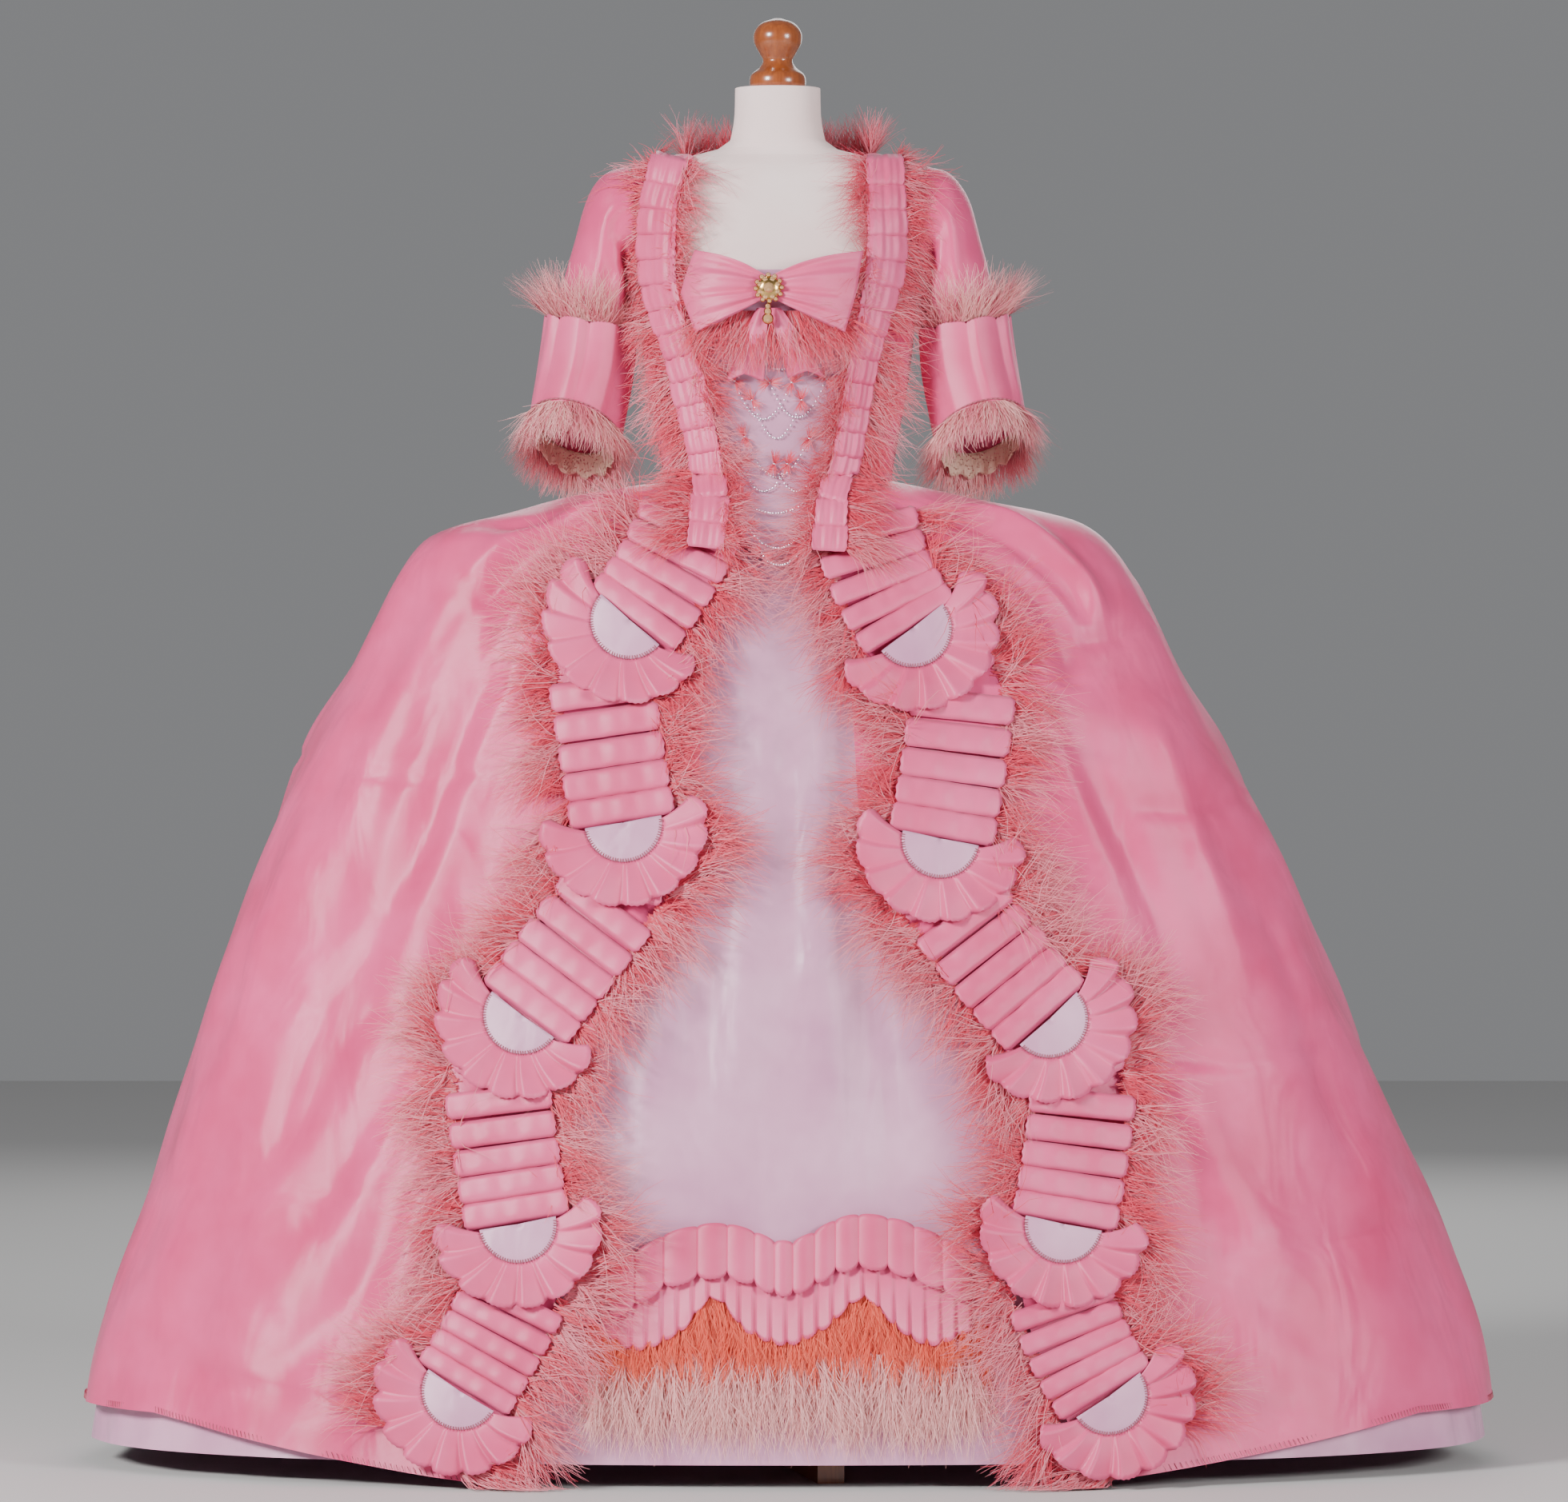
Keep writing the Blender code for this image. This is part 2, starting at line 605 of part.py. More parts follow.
def bodice():
    for side in ("left", "right"):
        edge = edge_path(BODICE_BODY, EDGES[side])
        rows = []
        for n, (z_edge, z_side, arm) in enumerate(FRONT_ROWS):
            start = BODICE_BODY.turn_at(edge(z_edge), z_edge) if n else (180 if side == "left" else 0)
            end = max(arm, SEAM_ANGLE)
            end = 180 - end if side == "left" else end
            if n == 0:
                start += -SEAM_ANGLE if side == "left" else SEAM_ANGLE
            row = []
            for i in range(7):
                f = i / 6
                z = z_side + (z_edge - z_side) * (1 - f) ** (3 if z_edge < 1.10 else 1.5)
                turn = start + (end - start) * f
                if z_edge < 1.10 and f < 1:
                    wide = BODICE_BODY.left(z_side) * (-1 if side == "left" else 1)
                    turn = BODICE_BODY.turn_at(edge(z_edge) + (wide - edge(z_edge)) * f, z)
                row.append((z, turn))
            rows.append(row)
        sheet(f"bodice_front_{side}", *wall_of(BODICE_BODY, eased(rows)), "pink_satin")
    rows = []
    levels = [r for n, r in enumerate(FRONT_ROWS) if n not in (10, 11, 12, 13)]
    for n, (_, z_side, _) in enumerate(levels):
        z_mid = BACK_MIDDLE[n] if n < len(BACK_MIDDLE) else z_side
        arm = ARMHOLE_BACK[n] if n < len(ARMHOLE_BACK) else 0
        row = []
        for i in range(11):
            f = i / 5 - 1
            share = abs(f)
            turn = 90 * (1 - share) + max(arm, SEAM_ANGLE) * share
            z = z_mid + (z_side - z_mid) * share
            if n == 0:
                turn = 90 * max(1 - share / 0.55, 0) + SEAM_ANGLE
                z = z_mid + 0.017 * share / 0.55 if share < 0.55 else 1.453 - 0.017 * (share - 0.55) / 0.45
            row.append((z, -turn if f >= 0 else 180 + turn))
        rows.append(row)
    sheet("bodice_back", *wall_of(BODICE_BODY, eased(rows)), "pink_satin")


# Stomacher: height, half-width, how far it lies inside the bodice's surface.
STOMACHER = [(1.318, 0.119, 0.0050), (1.295, 0.118, 0.0050), (1.262, 0.116, 0.0050), (1.220, 0.098, 0.0050), (1.170, 0.084, 0.0050),
             (1.120, 0.074, 0.0050), (1.088, 0.068, 0.0050), (1.070, 0.064, 0.0070), (1.050, 0.056, 0.0110),
             (1.022, 0.034, 0.0140), (0.998, 0.005, 0.0160)]


def stomacher():
    outer, inner = [], []
    for z, half, inset in STOMACHER:
        turns = [BODICE_BODY.turn_at(half * u, z) for u in (-1, -0.6, -0.2, 0.2, 0.6, 1)]
        outer.append([BODICE_BODY.point(z, t, -inset) for t in turns])
        inner.append([BODICE_BODY.point(z, t, -inset - THIN) for t in turns])
    sheet("stomacher", outer, inner, "pale_satin")


def limb_ring(row, mirror, count, grow=0.0, drop=0.0, wave=None):
    """Slanted oval ring of a sleeve or cuff, from the table's row."""
    out_x, out_z, in_x, in_z, deep, mid_y = row[:6]
    rise = row[6] if len(row) > 6 else 0.0
    outer, inner = np.array([out_x, out_z]), np.array([in_x, in_z])
    middle, arm = (outer + inner) / 2, (outer - inner) / 2
    way = unit(arm)
    ring = []
    for i in range(count):
        angle = 2 * math.pi * i / count
        reach = grow + (wave(i) if wave else 0.0)
        c, s = math.cos(angle), math.sin(angle)
        across = middle + (arm + way * reach) * c
        y = mid_y - (deep + reach) * s
        ring.append((mirror * across[0], y, across[1] - rise * (y - mid_y) - drop))
    return ring


def sleeves():
    count = 14
    for side, mirror in (("left", -1), ("right", 1)):
        rings = []
        head = []
        for i in range(count):
            angle = 2 * math.pi * i / count
            y = -0.053 * math.sin(angle)
            z = 1.3765 + 0.0615 * math.cos(angle)
            deep = BODICE_BODY.front(z) if y < 0 else BODICE_BODY.back(z)
            wide = BODICE_BODY.right(z)
            x = wide * (1 - min(abs(y) / deep, 0.97) ** POWER) ** (1 / POWER)
            head.append((mirror * (x + 0.0046), y, z))
        rings.append(head)
        rings += [limb_ring(row, mirror, count) for row in SLEEVE]
        outer = np.array(rings)
        middle = outer.mean(axis=1, keepdims=True)
        normals = grid_normals(outer, True)
        normals *= np.sign((normals * (outer - middle)).sum(axis=2).mean())
        inner = outer - normals * CLOTH
        inner[0] = outer[0] + (middle[0] - outer[0]) * 0.035
        sheet(f"sleeve_{side}", outer, inner, "pink_satin", closed=True)

        count_cuff = CUFF_PLEATS * PLEAT_STEPS

        def fold(i):
            return 0.0032 * PLEAT_RISE[i % PLEAT_STEPS]

        tall = [(0.0, 0.0045, 0.0045)[i % PLEAT_STEPS] for i in range(count_cuff)]
        rings = []
        for n, row in enumerate(CUFF):
            fade = (1.0, 1.0, 0.6, 0.35)[n]
            ring = limb_ring(row, mirror, count_cuff, wave=lambda i: fold(i) * fade)
            if n == 0:
                ring = [(x, y, z + up) for (x, y, z), up in zip(ring, tall)]
            rings.append(ring)
        outer = np.array(rings)
        middle = outer.mean(axis=1, keepdims=True)
        inward = (middle - outer) * np.array([1, 1, 0])
        inward /= np.linalg.norm(inward, axis=2, keepdims=True)
        sheet(f"cuff_{side}", outer, outer + inward * THIN, "pink_satin", closed=True)

        count_lace = LACE_SCALLOPS * 2
        low = CUFF[-1]
        rings = [
            limb_ring(low, mirror, count_lace, grow=-0.0100, drop=-0.010),
            [(x, y, z - (0.0 if i % 2 else 0.006))
             for i, (x, y, z) in enumerate(limb_ring(low, mirror, count_lace, grow=-0.0086, drop=0.018))],
        ]
        outer = np.array(rings)
        middle = outer.mean(axis=1, keepdims=True)
        inward = (middle - outer) * np.array([1, 1, 0])
        inward /= np.linalg.norm(inward, axis=2, keepdims=True)
        sheet(f"lace_{side}", outer, outer + inward * 0.001, "lace", closed=True)
        cuff_fringes(side, mirror)


def cuff_fringes(side, mirror):
    locks = 18
    top, low = CUFF[0], CUFF[-1]
    for place, row, grow, drops, turn_up, reach in (
            ("top", top, -0.0034, (-0.001, 0.006), 1, 0.056), ("hem", low, -0.0052, (-0.006, 0.000), -1, 0.050)):
        upper = np.array(limb_ring(row, mirror, locks, grow=grow, drop=drops[0]))
        lower = np.array(limb_ring(row, mirror, locks, grow=grow, drop=drops[1]))
        middle = upper.mean(axis=0)
        inward = (middle - upper) * np.array([1, 1, 0])
        inward = inward / np.linalg.norm(inward, axis=1, keepdims=True)
        ways = []
        for i in range(locks):
            out = -unit(inward[i] + inward[(i + 1) % locks])
            to_body = turn_up > 0 and out[0] * mirror < -0.5
            lock = (unit(out * 0.42 + np.array([0, 0, turn_up])), reach, 0.004)
            ways.append(None if i % 2 or to_body else lock)
        one, other = (upper, lower) if turn_up > 0 else (lower, upper)
        fringe(f"cuff_{place}_fringe_{side}", one, other, -inward, "pale_feather", ways, None, closed=True,
               lowest=1.084)


def along_path(rows, share):
    """Place at a share of the length of a path given by rows of numbers."""
    rows = np.asarray(rows, float)
    lengths = np.r_[0, np.cumsum(np.linalg.norm(np.diff(rows[:, :2], axis=0), axis=1))]
    return np.array([np.interp(share * lengths[-1], lengths, rows[:, i]) for i in range(rows.shape[1])])


def laid(surface, rows, thick, name, look):
    """Trim laid on a surface: rows of (px across, px down, lift), its underside a wall's thickness lower."""
    top = [[surface.seen(a, d, h + thick) for a, d, h in row] for row in rows]
    low = [[surface.seen(a, d, h) for a, d, h in row] for row in rows]
    sheet(name, top, low, look)


def bodice_bands():
    for side in ("left", "right"):
        path = BODICE_BANDS[side]
        rows = []
        for tab in range(TABS_A_SIDE):
            for part, lift, narrow in ((0.04, 0.0060, 3.0), (0.80, 0.0084, 0.0)):
                share = (tab + part) / TABS_A_SIDE
                mid, down, half = along_path(path, share)
                before, after = along_path(path, max(share - 0.02, 0)), along_path(path, min(share + 0.02, 1))
                way = unit(after[:2] - before[:2])
                cross = np.array([-way[1], way[0]])
                rise = max(0.0, down - 560) * 0.00006
                rows.append([(mid + cross[0] * (half - narrow) * u, down + cross[1] * (half - narrow) * u, lift + rise)
                             for u in (-1, 0, 1)])
        laid(BODICE_BODY, rows, THIN, f"bodice_band_{side}", "pink_satin")

        count = 17
        one, other, ups, ways, downs, spine = [], [], [], [], [], []
        for i in range(count):
            share = 0.05 + 0.94 * i / (count - 1)
            mid, down, half = along_path(path, share)
            before, after = along_path(path, max(share - 0.02, 0)), along_path(path, min(share + 0.02, 1))
            way = unit(after[:2] - before[:2])
            cross = np.array([-way[1], way[0]])
            edge = half - 1 if down < 470 else half + 3
            backing = 0.0022
            ends = [BODICE_BODY.seen(mid + cross[0] * edge * u, down + cross[1] * edge * u, backing)
                    for u in (-1, 1)]
            downs.append(down)
            spine.append(BODICE_BODY.seen(mid, down, backing))
            middle = BODICE_BODY.seen(mid, down, 0.0)
            lifted = BODICE_BODY.seen(mid, down, 0.01)
            one.append(ends[0])
            other.append(ends[1])
            ups.append(unit(lifted - middle))
            ways.append(unit(ends[1] - ends[0]))
        locks = []
        for sign in (-1, 1):
            group = []
            for i in range(count - 1):
                out = sign * unit(ways[i] + ways[i + 1])
                outside = (out[0] < 0) == (side == "left")
                down = (downs[i] + downs[i + 1]) / 2
                by_sleeve = outside and down < 440
                reach = 0.030 if by_sleeve else 0.052 if outside else 0.040
                rise = 0.95 if by_sleeve else 0.42 if down < 560 else 0.10
                way = unit(out + rise * unit(ups[i] + ups[i + 1]) + np.array([0, 0, -0.18]))
                by_bow = not outside and 296 < down < 436
                group.append(None if by_bow else (way, reach, 0.0035))
            locks.append(group)
        fringe(f"bodice_fringe_{side}", one, other, ups, "coral_feather", locks[0], locks[1], spine=spine)


def run_place(run, share):
    """Middle of a run and its direction at a share of its length, in photo px."""
    start, end = np.array(run[0:2], float), np.array(run[2:4], float)
    pull = end - np.array(run[4:6]) * 0.45 * np.linalg.norm(end - start)
    place = start * (1 - share) ** 2 + pull * 2 * share * (1 - share) + end * share ** 2
    way = (pull - start) * (1 - share) + (end - pull) * share
    return place, unit(way)


def skirt_trims():
    for side in ("left", "right"):
        rows = []
        for n, run in enumerate(RUNS[side]):
            for strip in range(STRIPS_A_RUN):
                for part, lift, narrow in ((0.05, BAND_LOW, 9), (0.82, BAND_HIGH, 0)):
                    share = (strip + part) / STRIPS_A_RUN * 0.985
                    place, way = run_place(run, share)
                    half = BAND_HALF - narrow
                    rows.append([(place[0] - way[1] * half * u, place[1] + way[0] * half * u, lift)
                                 for u in (-1, 0, 1)])
            if n + 1 < len(RUNS[side]):
                centre, way = run_place(run, 1.0)
                for step in (1, 32):
                    half = 40
                    middle = centre + way * step
                    if step == 32:
                        following = run_place(RUNS[side][n + 1], 0.0)
                        middle = (centre + following[0]) / 2
                        way = unit(way + following[1])
                    rows.append([(middle[0] - way[1] * half * u, middle[1] + way[0] * half * u, BAND_LOW)
                                 for u in (-1, 0, 1)])
        laid(SKIRT_BODY, rows, THIN, f"skirt_band_{side}", "pink_satin")
        fans(side)
        skirt_fringe(side)


def fans(side):
    for n, run in enumerate(RUNS[side]):
        centre, way = np.array(run[2:4], float), np.array(run[4:6])
        way = unit(way)
        cross = np.array([-way[1], way[0]])

        def place(radius, degrees):
            angle = math.radians(degrees)
            return centre + way * (radius * math.cos(angle) + 3) + cross * radius * math.sin(angle)

        arc = [(*place(MOON_RADIUS, -84 + 168 * i / 6), MOON_LIFT) for i in range(7)]
        base = [(*place(MOON_RADIUS * (i / 3 - 1) * 0.95, 90), MOON_LIFT) for i in range(7)]
        laid(SKIRT_BODY, [base, arc], THIN, f"halfmoon_{side}_{n + 1}", "pale_satin")

        columns = FAN_PLEATS * PLEAT_STEPS + 1
        rows = []
        for radius, wave, lift, spread_to, trim in (
                (FAN_INNER, 0.0, MOON_LIFT, 85, 0), (FAN_INNER + 9, 0.0012, FAN_LIFT, 88, 0),
                (FAN_OUTER, 0.0058, FAN_LIFT + 0.0010, 103, 6)):
            row = []
            for i in range(columns):
                rise = PLEAT_RISE[i % PLEAT_STEPS]
                shrink = trim * PLEAT_SCALLOP[i % PLEAT_STEPS]
                degrees = -spread_to + 2 * spread_to * i / (columns - 1)
                row.append((*place(radius - shrink, degrees), lift + wave * rise))
            rows.append(row)
        laid(SKIRT_BODY, rows, THIN, f"fan_{side}_{n + 1}", "pink_satin")


def skirt_fringe(side):
    stations = []
    for run in RUNS[side]:
        for share in (0.22, 0.62):
            place, way = run_place(run, share)
            stations.append((place, way, 58))
        centre, way = np.array(run[2:4], float), unit(np.array(run[4:6]))
        for step, half in ((-12, 84), (32, 84), (72, 60)):
            stations.append((centre + way * step, way, half))
    one, other, ups, spine = [], [], [], []
    for place, way, half in stations:
        spine.append(SKIRT_BODY.seen(*place, BACKING_LIFT))
        for group, sign in ((one, -1), (other, 1)):
            group.append(SKIRT_BODY.seen(place[0] - way[1] * half * sign, place[1] + way[0] * half * sign,
                                         BACKING_LIFT))
        ups.append(unit(SKIRT_BODY.seen(*place, 0.01) - SKIRT_BODY.seen(*place)))
    locks = []
    for sign in (-1, 1):
        group = []
        for i in range(len(stations) - 1):
            out = sign * unit(unit(other[i] - one[i]) + unit(other[i + 1] - one[i + 1]))
            reach = 0.070
            way = unit(out + 0.06 * unit(ups[i] + ups[i + 1]) + np.array([0, 0, -0.22]))
            group.append((way, reach, 0.005))
        locks.append(group)
    fringe(f"skirt_fringe_{side}", one, other, ups, "coral_feather", locks[0], locks[1], spine=spine)


def hem_trims():
    rows = []
    tops = HEM_TABS
    columns = []
    for i, ((a, d), (b, e)) in enumerate(zip(tops, tops[1:])):
        for part, lift, dip in ((0.08, 0.0060, 5), (0.72, 0.0086, 0)):
            columns.append((a + (b - a) * part, d + (e - d) * part, lift, dip))
    for level in (0.0, 0.5, 1.0):
        rows.append([(a, d + HEM_TAB_TALL * level + (dip if level == 0 else -dip * 0.6 if level == 1 else 0),
                      lift) for a, d, lift, dip in columns])
    laid(PETTICOAT_BODY, rows, THIN, "petticoat_tabs", "pink_satin")

    count = RUFFLE_PLEATS * PLEAT_STEPS + 1
    top = Curve([r[0] for r in RUFFLE], [r[1] for r in RUFFLE])
    low = Curve([r[0] for r in RUFFLE], [r[2] for r in RUFFLE])
    rows = []
    for level, wave, lift in ((0.0, 0.0, 0.0030), (0.45, 0.0012, 0.0032), (1.0, 0.0050, 0.0036)):
        row = []
        for i in range(count):
            across = RUFFLE[0][0] + (RUFFLE[-1][0] - RUFFLE[0][0]) * i / (count - 1)
            rise = PLEAT_RISE[i % PLEAT_STEPS]
            start = top(across) + 14
            row.append((across, start + (low(across) - start) * level, lift + wave * rise))
        rows.append(row)
    laid(PETTICOAT_BODY, rows, THIN, "petticoat_ruffle", "pink_satin")

    one, other, ups, locks = [], [], [], []
    for i in range(FRINGE_LOCKS + 1):
        across = FRINGE_ACROSS[0] + (FRINGE_ACROSS[1] - FRINGE_ACROSS[0]) * i / FRINGE_LOCKS
        one.append(PETTICOAT_BODY.seen(across, FRINGE_TOP, 0.0008))
        other.append(PETTICOAT_BODY.seen(across, FRINGE_TOP - 76, 0.0008))
        ups.append(unit(PETTICOAT_BODY.seen(across, FRINGE_TOP, 0.01) - PETTICOAT_BODY.seen(across, FRINGE_TOP)))
    for i in range(FRINGE_LOCKS):
        across = FRINGE_ACROSS[0] + (FRINGE_ACROSS[1] - FRINGE_ACROSS[0]) * (i + 0.5) / FRINGE_LOCKS
        root = (one[i] + one[i + 1]) / 2
        tip = PETTICOAT_BODY.seen(across, FRINGE_BOTTOM, 0.005)
        locks.append((unit(tip - root), float(np.linalg.norm(tip - root)), 0.005))
    fringe("petticoat_fringe", one, other, ups, "pale_feather", locks, None)


# Bow: wing corners across and down in px at the outer end, upper then lower.
BOW_KNOT = (961, 361)
BOW_WINGS = {"left": ((875, 318), (861, 366), (877, 416)), "right": ((1072, 319), (1063, 366), (1050, 415))}
BOW_TAILS = {"left": (940, 468), "right": (1002, 466)}
BOW_LIFT = 0.016


def bow():
    knot = np.array(BOW_KNOT, float)
    for side, corners in BOW_WINGS.items():
        high, mid, low = (np.array(c, float) for c in corners)
        sign = -1 if side == "left" else 1
        spots = []
        for v in range(5):
            share = v / 4
            outer = high + (mid - high) * share * 2 if share <= 0.5 else mid + (low - mid) * (share * 2 - 1)
            near = knot + np.array([sign * 17, (share - 0.5) * 22])
            ripple = (0.0, 0.004, 0.0005, 0.0045, 0.0)[v]
            row = []
            for t, height in ((0.0, 0.009), (0.3, 0.011), (0.65, 0.0135), (0.93, 0.0135), (1.0, 0.0095),
                              (0.93, 0.0055), (0.5, 0.0050), (0.12, 0.0040)):
                front = height > 0.007
                place = near + (outer - near) * t
                row.append((*place, BOW_LIFT - 0.010 + height + (ripple * t if front else 0)))
            spots.append(row)
        outer = np.array([[BODICE_BODY.seen(a, d, h) for a, d, h in row] for row in spots])
        normals = grid_normals(outer, False)
        middle = BODICE_BODY.seen(*(knot + (mid - knot) * 0.6), BOW_LIFT - 0.001)
        normals *= np.sign((normals * (outer - middle)).sum(axis=2).mean())
        sheet(f"bow_{side}", outer, outer - normals * 0.0012, "pink_satin")
    for side, end in BOW_TAILS.items():
        end = np.array(end, float)
        start = knot + np.array([-8 if side == "left" else 9, 34])
        rows = []
        for t, half in ((0.0, 7), (0.5, 15), (1.0, 21)):
            place = start + (end - start) * t
            rows.append([(place[0] + half * u, place[1] + (9 * (1 - abs(u)) * -1 if t == 1 else 0),
                          0.0095 + 0.0018 * abs(u)) for u in (-1, 0, 1)])
        laid(BODICE_BODY, rows, THIN, f"bow_tail_{side}", "pink_satin")
    ring = [math.radians(i * 30) for i in range(12)]
    middle = BODICE_BODY.seen(*knot)
    rings = []
    for radius, out in ((0.0135, 0.0185), (0.0160, 0.0215), (0.0135, 0.0260), (0.0060, 0.0290)):
        rings.append([(middle[0] + radius * math.cos(t), middle[1] - out,
                       middle[2] + radius * math.sin(t) * (1.0 if math.sin(t) > -0.9 else 1.9)) for t in ring])
    capped("brooch", rings, "gold")
    bow_and_neck_fringe()


def bow_and_neck_fringe():
    count = 9
    one, other, ups = [], [], []
    for i in range(count):
        across = 900 + (1030 - 900) * i / (count - 1)
        one.append(BODICE_BODY.seen(across, 398, 0.0002))
        other.append(BODICE_BODY.seen(across, 384, 0.0002))
        ups.append(unit(BODICE_BODY.seen(across, 390, 0.01) - BODICE_BODY.seen(across, 390)))
    locks = []
    for i in range(count - 1):
        lean = (i - 3.5) * 0.10
        locks.append((unit(np.array([lean, 0.08, -1.0])), 0.040 + 0.003 * abs(i - 3.5), 0.0035))
    fringe("bow_fringe", one, other, ups, "coral_feather", locks, None)
    count = 9
    one, other, ups, locks = [], [], [], []
    for i in range(count):
        turn = 205 + 130 * i / (count - 1)
        edge = 1.436 + 0.017 * (1 - (90 - abs(turn - 270)) / 90)
        top = BODICE_BODY.point(edge + 0.0075, turn, -0.0012)
        low = BODICE_BODY.point(edge + 0.0018, turn, -0.0012)
        one.append(top)
        other.append(low)
        ups.append(BODICE_BODY.normal(edge + 0.004, turn))
    for i in range(count - 1):
        out = unit(ups[i] + ups[i + 1])
        locks.append((unit(out * np.array([0.45, 0.45, 0.0]) + np.array([0, 0, 1.0])), 0.046, 0.0035))
    fringe("neck_fringe", one, other, ups, "coral_feather", locks, None)


def centre_on_floor():
    """Moves everything so that the middle of the whole stands at the frame's origin."""
    corners = [v.co for thing in bpy.data.objects for v in thing.data.vertices]
    middle = [(min(c[i] for c in corners) + max(c[i] for c in corners)) / 2 for i in (0, 1)]
    for thing in bpy.data.objects:
        for vertex in thing.data.vertices:
            vertex.co.x -= middle[0]
            vertex.co.y -= middle[1]


def main():
    clear_scene()
    form()
    petticoat()
    robe_skirts()
    sack_back()
    bodice()
    stomacher()
    sleeves()
    bodice_bands()
    skirt_trims()
    hem_trims()
    bow()
    centre_on_floor()


main()
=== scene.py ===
"""Looks of the feather-trimmed gown on its dress form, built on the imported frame."""

import bisect
import math

import bpy
import numpy as np
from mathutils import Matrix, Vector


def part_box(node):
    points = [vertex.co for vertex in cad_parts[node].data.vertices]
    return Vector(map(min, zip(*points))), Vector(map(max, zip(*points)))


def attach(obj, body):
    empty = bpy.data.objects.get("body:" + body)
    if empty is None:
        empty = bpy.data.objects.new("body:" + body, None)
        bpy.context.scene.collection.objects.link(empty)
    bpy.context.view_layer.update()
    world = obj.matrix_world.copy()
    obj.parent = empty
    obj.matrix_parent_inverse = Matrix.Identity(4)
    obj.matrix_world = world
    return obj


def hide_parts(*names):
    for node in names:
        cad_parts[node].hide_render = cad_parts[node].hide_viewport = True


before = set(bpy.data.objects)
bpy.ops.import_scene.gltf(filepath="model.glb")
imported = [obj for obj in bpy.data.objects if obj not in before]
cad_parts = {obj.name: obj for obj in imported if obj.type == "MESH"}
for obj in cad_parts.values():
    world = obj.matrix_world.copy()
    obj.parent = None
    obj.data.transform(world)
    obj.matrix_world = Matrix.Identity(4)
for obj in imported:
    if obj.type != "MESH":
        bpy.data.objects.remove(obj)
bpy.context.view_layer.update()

PX = 0.000892
PX_MID = 972
PX_FLOOR = 1820
EYE_DISTANCE = 8.0
EYE_HEIGHT = 0.786
POWER = 2.3
ROBE_TOP = 1.085

pole_low, pole_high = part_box("stand_pole")
SHIFT = np.array([(pole_low[0] + pole_high[0]) / 2, (pole_low[1] + pole_high[1]) / 2, 0.0])

# Outer surface of the robe skirt: height, half-width left, half-width right, front depth, back depth.
SKIRT = [
    (-0.010, 0.784, 0.808, 0.400, 0.528), (0.113, 0.763, 0.787, 0.387, 0.506),
    (0.276, 0.709, 0.729, 0.360, 0.468), (0.449, 0.654, 0.657, 0.323, 0.422),
    (0.590, 0.611, 0.598, 0.288, 0.378), (0.700, 0.565, 0.546, 0.256, 0.338),
    (0.800, 0.520, 0.496, 0.222, 0.296), (0.870, 0.481, 0.452, 0.196, 0.262),
    (0.930, 0.450, 0.421, 0.172, 0.224), (0.985, 0.421, 0.391, 0.149, 0.182),
    (1.020, 0.393, 0.364, 0.133, 0.152), (1.040, 0.350, 0.338, 0.121, 0.134),
    (1.056, 0.286, 0.290, 0.113, 0.122), (1.070, 0.222, 0.212, 0.106, 0.111),
    (1.085, 0.1295, 0.1295, 0.0985, 0.0965),
]
# How far the petticoat lies inside the robe: height, inset.
PETTICOAT_INSET = [(0.0, 0.016), (0.87, 0.016), (0.95, 0.014), (1.04, 0.011), (1.085, 0.0095)]
# Outer surface of the bodice, columns as in SKIRT.
BODICE = [
    (0.990, 0.415, 0.390, 0.162, 0.185), (1.030, 0.372, 0.350, 0.145, 0.150),
    (1.055, 0.290, 0.290, 0.133, 0.132), (1.072, 0.210, 0.210, 0.120, 0.114),
    (1.0885, 0.1285, 0.1285, 0.1090, 0.0945), (1.120, 0.133, 0.133, 0.1125, 0.0965),
    (1.160, 0.140, 0.140, 0.1176, 0.099), (1.200, 0.147, 0.147, 0.1226, 0.102),
    (1.250, 0.153, 0.153, 0.1290, 0.105), (1.290, 0.155, 0.155, 0.1290, 0.107),
    (1.330, 0.159, 0.159, 0.116, 0.107), (1.370, 0.166, 0.166, 0.100, 0.103),
    (1.405, 0.170, 0.170, 0.083, 0.097), (1.425, 0.170, 0.170, 0.072, 0.090),
    (1.438, 0.162, 0.162, 0.064, 0.083), (1.446, 0.145, 0.145, 0.057, 0.076),
    (1.452, 0.115, 0.115, 0.050, 0.068), (1.458, 0.085, 0.085, 0.046, 0.062),
]
# Dress form: height, half-width, front depth, back depth.
FORM = [
    (0.860, 0.148, 0.112, 0.122), (0.950, 0.150, 0.106, 0.125), (1.030, 0.132, 0.094, 0.104),
    (1.086, 0.120, 0.0885, 0.0875), (1.160, 0.133, 0.101, 0.092), (1.250, 0.147, 0.116, 0.098),
    (1.290, 0.149, 0.116, 0.100), (1.330, 0.153, 0.106, 0.100), (1.370, 0.160, 0.091, 0.096),
    (1.405, 0.164, 0.075, 0.090), (1.425, 0.163, 0.065, 0.083), (1.437, 0.152, 0.057, 0.075),
    (1.4445, 0.128, 0.050, 0.068), (1.4495, 0.096, 0.046, 0.061), (1.457, 0.067, 0.044, 0.055),
    (1.468, 0.053, 0.044, 0.050), (1.500, 0.048, 0.044, 0.047), (1.525, 0.0475, 0.044, 0.0465),
]
# Turned finial: height, radius.
FINIAL = [
    (1.5255, 0.026), (1.5290, 0.031), (1.5400, 0.030), (1.5480, 0.021), (1.5560, 0.0165),
    (1.5640, 0.020), (1.5760, 0.0262), (1.5880, 0.0262), (1.5980, 0.0185), (1.6035, 0.004),
]
